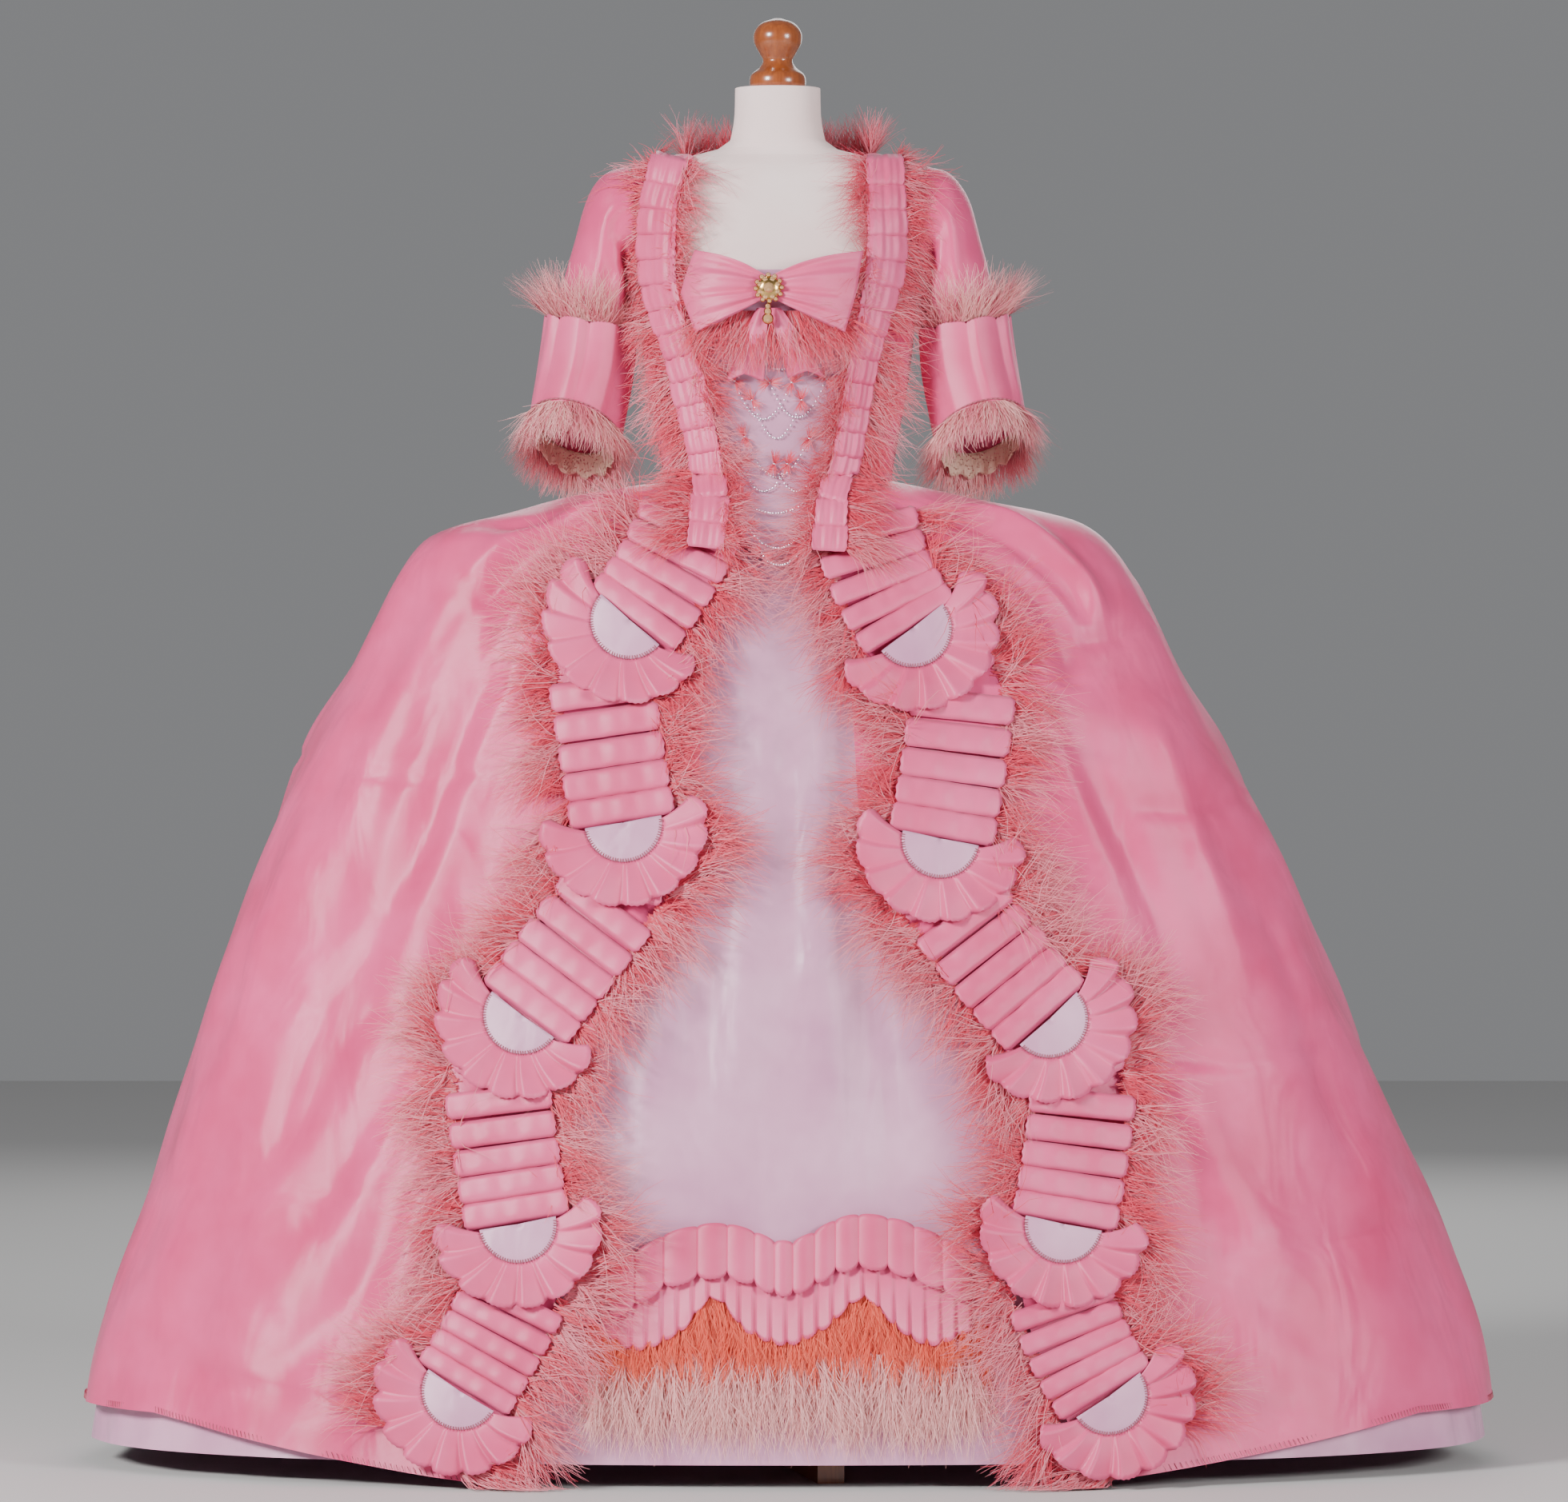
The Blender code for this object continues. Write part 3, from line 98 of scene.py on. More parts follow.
# Front edge of each bodice and robe front: photo px across, px down.
EDGES = {
    "left": [(862, 187), (850, 258), (847, 306), (852, 359), (868, 430), (886, 478), (893, 526),
             (903, 574), (911, 622), (903, 690)],
    "right": [(1081, 187), (1081, 258), (1083, 306), (1081, 340), (1069, 407), (1059, 454),
              (1047, 526), (1040, 574), (1021, 622), (1012, 690)],
}
ROBE_EDGES = {
    "left": [(916, 592), (914, 700), (884, 830), (866, 1031), (832, 1145), (745, 1300),
             (716, 1400), (712, 1521), (694, 1624), (655, 1765), (640, 1875)],
    "right": [(1028, 592), (1034, 700), (1062, 850), (1078, 1045), (1126, 1150), (1225, 1300),
              (1263, 1400), (1264, 1521), (1282, 1640), (1335, 1780), (1350, 1875)],
}
# Tabbed band on each bodice front: px across of its middle, px down, half-width in px.
BODICE_BANDS = {
    "left": [(840, 199, 21), (827, 258, 22), (825, 306, 22), (829, 359, 19), (851, 430, 17),
             (865, 478, 20), (876, 526, 18), (886, 574, 18), (889, 622, 23), (882, 684, 20)],
    "right": [(1103, 199, 21), (1104, 258, 22), (1105, 306, 22), (1102, 340, 21), (1085, 407, 16),
              (1074, 454, 15), (1062, 526, 16), (1055, 574, 16), (1040, 622, 18), (1036, 688, 23)],
}
TABS_A_SIDE = 16
# Skirt trim: each run's start across and down, the fan's centre across and down, the way the fan points.
RUNS = {
    "left": [
        (868, 650, 790, 778, -0.66, 0.75), (752, 850, 780, 1030, 0.17, 0.98),
        (765, 1128, 657, 1270, -0.60, 0.80), (624, 1362, 649, 1530, 0.18, 0.98),
        (648, 1618, 580, 1738, -0.54, 0.84),
    ],
    "right": [
        (1078, 650, 1138, 788, 0.61, 0.79), (1202, 868, 1175, 1050, -0.20, 0.98),
        (1195, 1140, 1307, 1275, 0.68, 0.73), (1352, 1366, 1328, 1530, -0.20, 0.98),
        (1322, 1622, 1382, 1744, 0.58, 0.82),
    ],
}
BAND_HALF = 66
STRIPS_A_RUN = 5
MOON_RADIUS = 48
FAN_INNER = 47
FAN_OUTER = 107
FAN_PLEATS = 9
# Sleeve: outer side across and up, inner side across and up, half-depth, middle depth.
SLEEVE = [
    (0.194, 1.430, 0.1655, 1.314, 0.053, 0.000, 0.0), (0.213, 1.402, 0.1605, 1.301, 0.054, -0.001, 0.0),
    (0.2300, 1.344, 0.1592, 1.286, 0.0525, -0.004, 0.0), (0.2435, 1.290, 0.1620, 1.266, 0.048, -0.008, 0.0),
    (0.2490, 1.262, 0.1660, 1.249, 0.0475, -0.010, 0.0), (0.2530, 1.242, 0.1655, 1.234, 0.0510, -0.012, 0.0),
]
# Cuff: outer side across and up, inner side across and up, half-depth, middle depth, rise toward the front.
CUFF = [
    (0.2570, 1.268, 0.1600, 1.252, 0.0535, -0.010, 0.00),
    (0.2655, 1.217, 0.1618, 1.206, 0.0572, -0.0155, 0.15),
    (0.2735, 1.176, 0.1680, 1.160, 0.060, -0.021, 0.38),
    (0.2770, 1.150, 0.1750, 1.126, 0.061, -0.025, 0.53),
]
CUFF_PLEATS = 8
# Hanging back panel: height, half-width, how far its middle stands off, pleat depth.
SACK = [
    (0.008, 0.340, 0.016, 0.014), (0.140, 0.325, 0.016, 0.013), (0.300, 0.303, 0.016, 0.012),
    (0.460, 0.278, 0.017, 0.011), (0.620, 0.250, 0.019, 0.010), (0.760, 0.220, 0.024, 0.009),
    (0.880, 0.185, 0.036, 0.009), (0.980, 0.150, 0.066, 0.008), (1.040, 0.126, 0.092, 0.008),
    (1.075, 0.113, 0.103, 0.008), (1.100, 0.106, 0.102, 0.008), (1.170, 0.104, 0.080, 0.008),
    (1.260, 0.104, 0.052, 0.007), (1.350, 0.103, 0.026, 0.007), (1.432, 0.100, 0.006, 0.006),
]
# Box pleats across half the back panel: share of the half-width, share of the pleat depth.
SACK_PROFILE = [
    (0.0, 0.0), (0.055, 0.02), (0.085, 0.95), (0.13, 1.0), (0.46, 1.0), (0.50, 0.95), (0.53, 0.1),
    (0.58, 0.1), (0.61, 0.65), (0.66, 0.7), (0.88, 0.7), (1.0, 0.0),
]
# Wave of tabs over the petticoat's hem: px across, px down of each tab's top.
HEM_TABS = [(762, 1590), (794, 1572), (830, 1549), (872, 1537), (909, 1535), (943, 1545), (968, 1557),
            (991, 1558), (1018, 1545), (1044, 1530), (1073, 1523), (1109, 1527), (1142, 1537),
            (1178, 1553), (1212, 1570)]
# Ruffle under the tabs: px across, px down of its upper edge, px down of its lower edge.
RUFFLE = [(752, 1634, 1668), (796, 1614, 1690), (850, 1590, 1668), (893, 1578, 1626), (935, 1584, 1668),
          (983, 1600, 1684), (1030, 1588, 1664), (1079, 1568, 1626), (1125, 1580, 1666), (1163, 1590, 1684),
          (1216, 1606, 1664)]
RUFFLE_PLEATS = 24
# Feathers of the petticoat's hem: px down of the roots from and to, count, shortest, longest, look.
HEM_FEATHERS = [(1588, 1640, 4400, 0.030, 0.045, 0), (1640, 1704, 6000, 0.026, 0.046, 0),
                (1692, 1738, 7200, 0.050, 0.086, 1)]
FORWARD = (0.0, -1.0, 0.0)
# Stomacher: height, half-width, how far it lies inside the bodice's surface.
STOMACHER = [
    (1.318, 0.119, 0.0050), (1.295, 0.118, 0.0050), (1.262, 0.116, 0.0050), (1.220, 0.098, 0.0050),
    (1.170, 0.084, 0.0050), (1.120, 0.074, 0.0050), (1.088, 0.068, 0.0050), (1.070, 0.064, 0.0070),
    (1.050, 0.056, 0.0110), (1.022, 0.034, 0.0140), (0.998, 0.005, 0.0160),
]
BOW_KNOT = (961, 361)
BOW_WINGS = {"left": ((875, 318), (861, 366), (877, 416)), "right": ((1072, 319), (1063, 366), (1050, 415))}
BOW_TAILS = {"left": (932, 476), "right": (1008, 472)}
BOW_LIFT = 0.016
# Metres of relief for each mm in a crease table, and the deepest trough that stays off the layer below.
CREASE_SCALE = 0.0025
DEEPEST_TROUGH = -0.0095
# Creases of each sleeve: depth and half-width in mm.
SLEEVE_CREASES = [(2.4, 9), (-2.4, 8), (1.9, 8), (-1.8, 9), (-2.0, 8), (1.8, 8)]
# Shoulder cloth above this height is kept this far off the form.
SHOULDER_LOW = 1.405
FORM_CLEARANCE = 0.0035
# Scale of the slow colour patches in cloth.
PATCH_SCALE = 9.0
# Thickness of the trims' cloth in metres.
TRIM_THICKNESS = 0.0006
# Lights: name, place, watts, size. All aim at the middle of the gown.
LIGHTS = [
    ("key", (-3.3, -3.6, 2.6), 350, 1.1), ("fill", (3.4, -3.5, 1.8), 165, 1.2),
    ("rim", (0.6, 4.6, 3.0), 60, 3.0),
]
LIGHT_AIM = (0, 0, 0.7)
LENS_MM = 164.6
# How far forward the feathers spread before they bend back.
FOREMOST = -0.412

# Creases of the robe's front: depth in mm (ridge up, trough down), half-width in mm, px points along them.
FRONT_CREASES = [
    (5.0, 16, [(800, 618), (715, 640), (640, 672), (585, 726)]),
    (-4.5, 12, [(795, 640), (710, 668), (645, 706), (600, 760)]),
    (4.5, 18, [(790, 660), (700, 700), (640, 770), (610, 850)]),
    (-3.5, 14, [(745, 640), (650, 650), (575, 662)]),
    (4.0, 26, [(700, 740), (610, 900), (560, 1060), (500, 1240)]),
    (-4.5, 24, [(640, 800), (560, 960), (500, 1110), (430, 1300)]),
    (3.6, 22, [(560, 740), (480, 900), (420, 1080)]),
    (-3.6, 24, [(600, 1130), (530, 1280), (440, 1450), (390, 1560)]),
    (4.0, 30, [(520, 1340), (440, 1500), (340, 1640)]),
    (-4.0, 26, [(470, 1160), (380, 1350), (290, 1530)]),
    (3.2, 24, [(390, 1010), (330, 1180), (270, 1400)]),
    (-3.4, 22, [(470, 1560), (420, 1650), (330, 1735)]),
    (3.2, 20, [(540, 1480), (505, 1580), (470, 1680)]),
    (-2.6, 9, [(378, 950), (470, 968), (560, 968), (640, 955)]),
    (-2.6, 8, [(280, 1216), (370, 1250), (470, 1262), (560, 1250)]),
    (-2.4, 8, [(206, 1424), (270, 1462), (380, 1490), (500, 1490)]),
    (-3.0, 10, [(140, 1654), (220, 1706), (324, 1742), (440, 1762)]),
    (-5.0, 10, [(1150, 640), (1220, 655), (1280, 685), (1340, 735), (1364, 774)]),
    (6.0, 13, [(1180, 632), (1249, 641), (1318, 680), (1360, 725), (1380, 772)]),
    (-4.0, 12, [(1210, 690), (1280, 730), (1330, 790), (1345, 860)]),
    (4.0, 16, [(1180, 680), (1240, 720), (1290, 790), (1320, 890)]),
    (4.0, 24, [(1270, 830), (1340, 980), (1400, 1120), (1440, 1290)]),
    (-4.2, 24, [(1340, 900), (1400, 1040), (1470, 1200), (1510, 1340)]),
    (3.8, 22, [(1440, 900), (1500, 1060), (1560, 1240)]),
    (4.0, 26, [(1470, 1330), (1540, 1470), (1620, 1610)]),
    (-4.0, 24, [(1400, 1290), (1470, 1450), (1530, 1600)]),
    (-3.6, 24, [(1580, 1130), (1640, 1300), (1710, 1480)]),
    (3.4, 24, [(1490, 1560), (1590, 1680), (1700, 1750)]),
    (-3.0, 20, [(1460, 1650), (1560, 1740), (1620, 1780)]),
    (-2.6, 9, [(1350, 800), (1400, 795), (1442, 777)]),
    (-2.6, 9, [(1420, 1010), (1500, 1012), (1562, 995)]),
    (-2.6, 9, [(1430, 1310), (1550, 1330), (1640, 1300), (1677, 1282)]),
    (-2.6, 9, [(1500, 1540), (1620, 1560), (1740, 1530), (1800, 1505)]),
]
# Creases of the robe's sides and back: depth mm, half-width mm, points of (turn in degrees, height).
ROUND_CREASES = [
    (4.0, 26, [(182, 0.98), (190, 0.70), (196, 0.40), (200, 0.15)]),
    (-4.5, 26, [(200, 1.00), (208, 0.72), (212, 0.42), (214, 0.12)]),
    (4.5, 28, [(216, 1.00), (222, 0.74), (224, 0.45), (226, 0.10)]),
    (-4.0, 24, [(228, 1.00), (233, 0.70), (236, 0.40), (238, 0.08)]),
    (4.0, 26, [(-2, 0.98), (-10, 0.70), (-16, 0.40), (-20, 0.15)]),
    (-4.5, 26, [(-20, 1.00), (-27, 0.70), (-30, 0.42), (-34, 0.12)]),
    (4.5, 28, [(-34, 1.00), (-40, 0.74), (-43, 0.45), (-44, 0.10)]),
    (-4.0, 24, [(-48, 1.00), (-52, 0.70), (-55, 0.40), (-57, 0.08)]),
    (-2.6, 9, [(176, 0.775), (192, 0.775), (210, 0.772), (228, 0.775)]),
    (-2.6, 9, [(176, 0.53), (192, 0.53), (212, 0.525), (232, 0.53)]),
    (-2.8, 10, [(176, 0.17), (192, 0.165), (212, 0.17), (232, 0.165)]),
    (-2.6, 9, [(4, 0.74), (-12, 0.735), (-30, 0.74), (-48, 0.735)]),
    (-2.6, 9, [(4, 0.45), (-12, 0.45), (-32, 0.445), (-52, 0.45)]),
    (-2.8, 10, [(4, 0.17), (-12, 0.165), (-32, 0.17), (-52, 0.165)]),
]
# Creases of the petticoat's front, as in FRONT_CREASES.
PETTICOAT_CREASES = [
    (3.5, 16, [(965, 740), (955, 850), (948, 1000), (930, 1200), (900, 1500)]),
    (-4.0, 14, [(990, 720), (985, 850), (990, 1010), (975, 1250), (965, 1500)]),
    (4.0, 16, [(1005, 720), (1020, 860), (1025, 1040), (1040, 1300), (1050, 1500)]),
    (-3.2, 18, [(1040, 900), (1060, 1100), (1100, 1300), (1130, 1500)]),
    (-3.2, 18, [(925, 900), (905, 1060), (880, 1230), (850, 1440)]),
    (3.0, 20, [(905, 930), (870, 1150), (820, 1340), (800, 1540)]),
    (-3.4, 12, [(965, 985), (995, 940), (1025, 880)]),
    (3.2, 10, [(950, 975), (985, 920), (1010, 870)]),
    (3.2, 12, [(900, 1190), (950, 1225), (1010, 1205), (1060, 1175)]),
    (-3.0, 10, [(905, 1170), (955, 1205), (1005, 1190), (1050, 1158)]),
    (3.0, 20, [(1090, 1120), (1130, 1300), (1180, 1520)]),
    (-2.2, 9, [(860, 1330), (960, 1345), (1080, 1340)]),
]


def unit(vector):
    return vector / max(np.linalg.norm(vector), 1e-12)


class Curve:
    """Smooth curve through rising knots that never overshoots them."""

    def __init__(self, knots, values):
        self.x = list(knots)
        self.y = list(values)
        steps = [b - a for a, b in zip(self.x, self.x[1:])]
        rises = [(b - a) / s for a, b, s in zip(self.y, self.y[1:], steps)]
        self.slope = [rises[0]]
        for one, two in zip(rises, rises[1:]):
            self.slope.append(0.0 if one * two <= 0 else 2 * one * two / (one + two))
        self.slope.append(rises[-1])

    def __call__(self, x):
        x = min(max(x, self.x[0]), self.x[-1])
        i = min(max(bisect.bisect_right(self.x, x) - 1, 0), len(self.x) - 2)
        width = self.x[i + 1] - self.x[i]
        t = (x - self.x[i]) / width
        a, b = self.y[i], self.y[i + 1]
        c, d = self.slope[i] * width, self.slope[i + 1] * width
        return (a * (2 * t**3 - 3 * t**2 + 1) + c * (t**3 - 2 * t**2 + t)
                + b * (3 * t**2 - 2 * t**3) + d * (t**3 - t**2))


class Body:
    """Stack of oval sections. Turn 0 is the right side, 90 the front, 180 the left, 270 the back."""

    def __init__(self, rows, inset=None):
        heights = [row[0] for row in rows]
        self.left, self.right, self.front, self.back = (
            Curve(heights, [row[i] for row in rows]) for i in (1, 2, 3, 4))
        self.inset = Curve([r[0] for r in inset], [r[1] for r in inset]) if inset else None

    def bare(self, z, turn):
        angle = math.radians(turn)
        c, s = math.cos(angle), math.sin(angle)
        wide = self.right(z) if c >= 0 else self.left(z)
        deep = self.front(z) if s >= 0 else self.back(z)
        x = math.copysign(wide * abs(c) ** (2 / POWER), c)
        y = -math.copysign(deep * abs(s) ** (2 / POWER), s)
        return np.array([x, y, z])

    def normal(self, z, turn):
        around = self.bare(z, turn + 0.4) - self.bare(z, turn - 0.4)
        up = self.bare(z + 0.0015, turn) - self.bare(z - 0.0015, turn)
        return unit(np.cross(up, around))

    def point(self, z, turn, lift=0.0):
        reach = lift - (self.inset(z) if self.inset else 0.0)
        base = self.bare(z, turn)
        return base + self.normal(z, turn) * reach if reach else base

    def turn_at(self, x, z, behind=False):
        wide = self.right(z) if x >= 0 else self.left(z)
        share = min(abs(x) / wide, 1.0)
        turn = math.degrees(math.acos(min(share ** (POWER / 2), 1.0)))
        turn = turn if x >= 0 else 180 - turn
        return -turn if behind else turn

    def spot(self, across, down):
        """Height and turn of the surface point that the eye sees at this place of the photo."""
        want_x = (across - PX_MID) * PX
        want_z = (PX_FLOOR - down) * PX
        x, z = want_x * 0.96, EYE_HEIGHT + (want_z - EYE_HEIGHT) * 0.96
        for _ in range(6):
            turn = self.turn_at(x, z)
            found = self.point(z, turn)
            scale = EYE_DISTANCE / (EYE_DISTANCE + found[1])
            x += want_x / scale - found[0]
            z += (want_z - EYE_HEIGHT) / scale + EYE_HEIGHT - found[2]
        return z, self.turn_at(x, z)

    def seen(self, across, down, lift=0.0):
        z, turn = self.spot(across, down)
        return self.point(z, turn, lift)


SKIRT_BODY = Body(SKIRT)
PETTICOAT_BODY = Body(SKIRT, PETTICOAT_INSET)
BODICE_BODY = Body(BODICE)
FORM_BODY = Body([(z, w, w, f, b) for z, w, f, b in FORM])


def over_form(grid):
    """Lifts cloth points that would lie in the form's shoulders to just above them."""
    across, depth = np.abs(grid[..., 0]), grid[..., 1]
    top = np.zeros(grid.shape[:2])
    for z in map(float, np.linspace(1.400, 1.466, 133)):
        deep = np.where(depth < 0, FORM_BODY.front(z), FORM_BODY.back(z))
        inside = (across / FORM_BODY.left(z)) ** POWER + (np.abs(depth) / deep) ** POWER < 1
        top = np.where(inside, z, top)
    lifted = grid.copy()
    shoulder = (top > 0) & (grid[..., 2] > SHOULDER_LOW)
    lifted[..., 2] = np.where(shoulder, np.maximum(grid[..., 2], top + FORM_CLEARANCE), grid[..., 2])
    return lifted


def hem_height(turn):
    """Robe hem over the floor: it touches down at the front corners and lifts at the sides."""
    side = abs(math.cos(math.radians(turn)))
    front = math.sin(math.radians(turn)) > 0
    rise = min(max((side - 0.34) / 0.52, 0.0), 1.0)
    return 0.006 + (0.062 if front else 0.060) * rise ** 1.2


def edge_path(surface, rows):
    found = sorted((tuple(surface.seen(a, d)) for a, d in rows), key=lambda p: p[2])
    return Curve([p[2] for p in found], [p[0] for p in found])


def along_path(rows, share):
    rows = np.asarray(rows, float)
    lengths = np.r_[0, np.cumsum(np.linalg.norm(np.diff(rows[:, :2], axis=0), axis=1))]
    return np.array([np.interp(share * lengths[-1], lengths, rows[:, i]) for i in range(rows.shape[1])])


def run_place(run, share):
    """Middle of a run and its direction at a share of its length, in photo px."""
    start, end = np.array(run[0:2], float), np.array(run[2:4], float)
    pull = end - np.array(run[4:6]) * 0.45 * np.linalg.norm(end - start)
    place = start * (1 - share) ** 2 + pull * 2 * share * (1 - share) + end * share ** 2
    way = (pull - start) * (1 - share) + (end - pull) * share
    return place, unit(way)


def resample(points, count):
    """Points along the first axis, respaced on a smooth curve through them."""
    t = np.linspace(0, len(points) - 1, count)
    i = np.minimum(np.floor(t).astype(int), len(points) - 2)
    u = (t - i).reshape((-1,) + (1,) * (points.ndim - 1))
    padded = np.concatenate([[2 * points[0] - points[1]], points, [2 * points[-1] - points[-2]]])
    p = [padded[i + k] for k in range(4)]
    return 0.5 * (2 * p[1] + (p[2] - p[0]) * u + (2 * p[0] - 5 * p[1] + 4 * p[2] - p[3]) * u**2
                  + (3 * p[1] - p[0] - 3 * p[2] + p[3]) * u**3)


def refine(grid, rows, columns):
    grid = resample(np.asarray(grid, float), rows)
    return resample(grid.swapaxes(0, 1), columns).swapaxes(0, 1)


def grid_normals(points, closed):
    """Normals of a grid, turned to point away from its middle line."""
    down = np.gradient(points, axis=0)
    if closed:
        across = np.roll(points, -1, axis=1) - np.roll(points, 1, axis=1)
    else:
        across = np.gradient(points, axis=1)
    normals = np.cross(across, down)
    normals /= np.maximum(np.linalg.norm(normals, axis=2, keepdims=True), 1e-12)
    out = (normals[..., :2] * points[..., :2]).sum()
    return normals if out >= 0 else -normals


def creased(points, normals, creases, lines):
    """Moves points along their normals by soft troughs and ridges that lie along lines."""
    flat = points.reshape(-1, 3)
    shift = np.zeros(len(flat))
    for (depth, half, *_), line in zip(creases, lines):
        line = resample(np.array(line), 14)
        reach = half * 0.001
        low, high = line.min(axis=0) - reach * 3, line.max(axis=0) + reach * 3
        near = np.where(((flat > low) & (flat < high)).all(axis=1))[0]
        if not len(near):
            continue
        best = np.full(len(near), 1e9)
        share = np.zeros(len(near))
        for k in range(len(line) - 1):
            a, b = line[k], line[k + 1]
            t = np.clip(((flat[near] - a) @ (b - a)) / ((b - a) @ (b - a)), 0, 1)
            gap = np.linalg.norm(flat[near] - (a + t[:, None] * (b - a)), axis=1)
            closer = gap < best
            best[closer] = gap[closer]
            share[closer] = (k + t[closer]) / (len(line) - 1)
        ends = np.sin(np.pi * np.clip(share, 0.0, 1.0)) ** 0.5
        uneven = 0.8 + 0.2 * np.sin(share * 9 + depth * 3 + half)
        width = reach * (0.75 + 0.4 * share)
        shift[near] += depth * CREASE_SCALE * np.exp(-((best / width) ** 2)) * ends * uneven
    return points + normals * shift.reshape(points.shape[:2])[..., None]


def swell(points, normals, size, amount, seed):
    """Slow uneven swell of the cloth, from a few crossing waves."""
    wild = np.random.default_rng(seed)
    shift = np.zeros(points.shape[:2])
    for _ in range(7):
        way = wild.normal(size=3) * np.array([1.0, 1.0, 0.45])
        way = way / np.linalg.norm(way) * 2 * math.pi / (size * wild.uniform(0.7, 1.8))
        shift += np.sin(points @ way + wild.uniform(0, 6.28))
    return points + normals * (shift * amount / 2.6)[..., None]


# Materials

class Look:
    """A material under way. Extra values are the surface shader's, by their names."""

    def __init__(self, name, **values):
        self.made = bpy.data.materials.new(name)
        self.made.use_nodes = True
        self.tree = self.made.node_tree
        self.shader = self.tree.nodes["Principled BSDF"]
        self.place = self.node("TexCoord").outputs["Object"]
        for key, value in values.items():
            self.shader.inputs[key.replace("_", " ").title()].default_value = value

    def node(self, kind, *inputs, **values):
        """Adds a node, with inputs by place or by name. A socket is linked, anything else is set."""
        made = self.tree.nodes.new("ShaderNode" + kind)
        for key, value in [*enumerate(inputs), *values.items()]:
            if isinstance(value, bpy.types.NodeSocket):
                self.tree.links.new(value, made.inputs[key])
            elif isinstance(key, str) and hasattr(made, key):
                setattr(made, key, value)
            else:
                made.inputs[key].default_value = value
        return made

    def tones(self, source, dark, light, low=0.0, high=1.0):
        ramp = self.node("ValToRGB", source)
        for stop, position, colour in zip(ramp.color_ramp.elements, (low, high), (dark, light)):
            stop.position = position
            stop.color = (*colour, 1)
        self.tree.links.new(ramp.outputs["Color"], self.shader.inputs["Base Color"])

    def bump(self, source, strength, distance, **under):
        made = self.node("Bump", Height=source, Strength=strength, Distance=distance, **under)
        self.tree.links.new(made.outputs["Normal"], self.shader.inputs["Normal"])
        return made.outputs["Normal"]


def cloth_material(name, dark, light, rough, weave, weave_depth, sheen=0.06, soft=0.0, alpha=False):
    """Woven cloth: two tones in slow patches, fine crossing threads, soft hand creases in the bump."""
    look = Look(name, roughness=rough, sheen_weight=sheen, sheen_roughness=0.4)
    patch = look.node("TexNoise", look.place, Scale=PATCH_SCALE, Detail=3.0, Roughness=0.55)
    look.tones(patch.outputs["Fac"], dark, light, 0.3, 0.7)
    threads, cross = (
        look.node("TexWave", look.place, bands_direction=way, Scale=weave, Distortion=0.6, Detail=1.0)
        for way in ("Z", "DIAGONAL"))
    joined = look.node("Math", threads.outputs["Fac"], cross.outputs["Fac"], operation="ADD")
    woven = look.bump(joined.outputs[0], 0.35, weave_depth)
    if soft:
        stretch = look.node("Mapping", look.place, Scale=(1.0, 1.0, 0.45))
        rumple = look.node("TexNoise", stretch.outputs["Vector"], Scale=15.0, Detail=2.4, Roughness=0.45,
                           Distortion=0.7)
        look.bump(rumple.outputs["Fac"], 0.6, soft, Normal=woven)
    if alpha:
        holes = look.node("TexVoronoi", look.place, Scale=420.0)
        cut = look.node("Math", holes.outputs["Distance"], 0.34, operation="GREATER_THAN")
        look.tree.links.new(cut.outputs[0], look.shader.inputs["Alpha"])
    return look.made


def feather_material(name, dark, light):
    """Feather barbs: colour varies from barb to barb and pales toward the tip."""
    look = Look(name, roughness=0.6, sheen_weight=0.12)
    tone = look.node("Attribute", attribute_name="tone")
    look.tones(tone.outputs["Fac"], dark, light)
    grain = look.node("TexNoise", look.place, Scale=900.0, Detail=1.0)
    look.bump(grain.outputs["Fac"], 0.2, 0.0003)
    return look.made


def wood_material():
    look = Look("turned_wood", roughness=0.28, coat_weight=0.6, coat_roughness=0.12)
    stretch = look.node("Mapping", look.place, Scale=(1.0, 1.0, 0.12))
    grain = look.node("TexNoise", stretch.outputs["Vector"], Scale=160.0, Detail=5.0, Distortion=1.2)
    look.tones(grain.outputs["Fac"], (0.13, 0.022, 0.006), (0.42, 0.11, 0.025))
    look.bump(grain.outputs["Fac"], 0.15, 0.0004)
    return look.made


def shiny_material(name, colour, metallic, rough, clear=0.0):
    look = Look(name, metallic=metallic, roughness=rough, coat_weight=clear)
    wear = look.node("TexNoise", look.place, Scale=300.0, Detail=2.0)
    look.tones(wear.outputs["Fac"], [c * 0.7 for c in colour], colour)
    return look.made


PINK = cloth_material("pink_satin", (0.72, 0.058, 0.185), (0.85, 0.105, 0.280),
                      0.27, 700.0, 0.00012, soft=0.0085)
TRIM = cloth_material("trim_satin", (0.72, 0.075, 0.200), (0.86, 0.14, 0.31),
                      0.32, 700.0, 0.00012, soft=0.0022)
PALE = cloth_material("pale_satin", (0.60, 0.26, 0.43), (0.77, 0.40, 0.58),
                      0.24, 700.0, 0.00010, soft=0.0085)
COVER = cloth_material("form_cover", (0.92, 0.70, 0.68), (0.96, 0.77, 0.75), 0.75, 420.0, 0.00025, sheen=0.1)
LACE = cloth_material("lace_net", (0.62, 0.40, 0.29), (0.74, 0.52, 0.40), 0.8, 800.0, 0.0002, alpha=True)
CORAL = feather_material("coral_barbs", (0.54, 0.010, 0.040), (0.86, 0.070, 0.13))
DUSTY = feather_material("dusty_barbs", (0.60, 0.09, 0.14), (0.86, 0.28, 0.34))
BLUSH = feather_material("blush_barbs", (0.76, 0.24, 0.25), (0.92, 0.52, 0.50))
ORANGE = feather_material("orange_barbs", (0.78, 0.05, 0.03), (0.94, 0.17, 0.10))
WOOD = wood_material()
GOLD = shiny_material("gilt", (0.75, 0.46, 0.16), 1.0, 0.22)
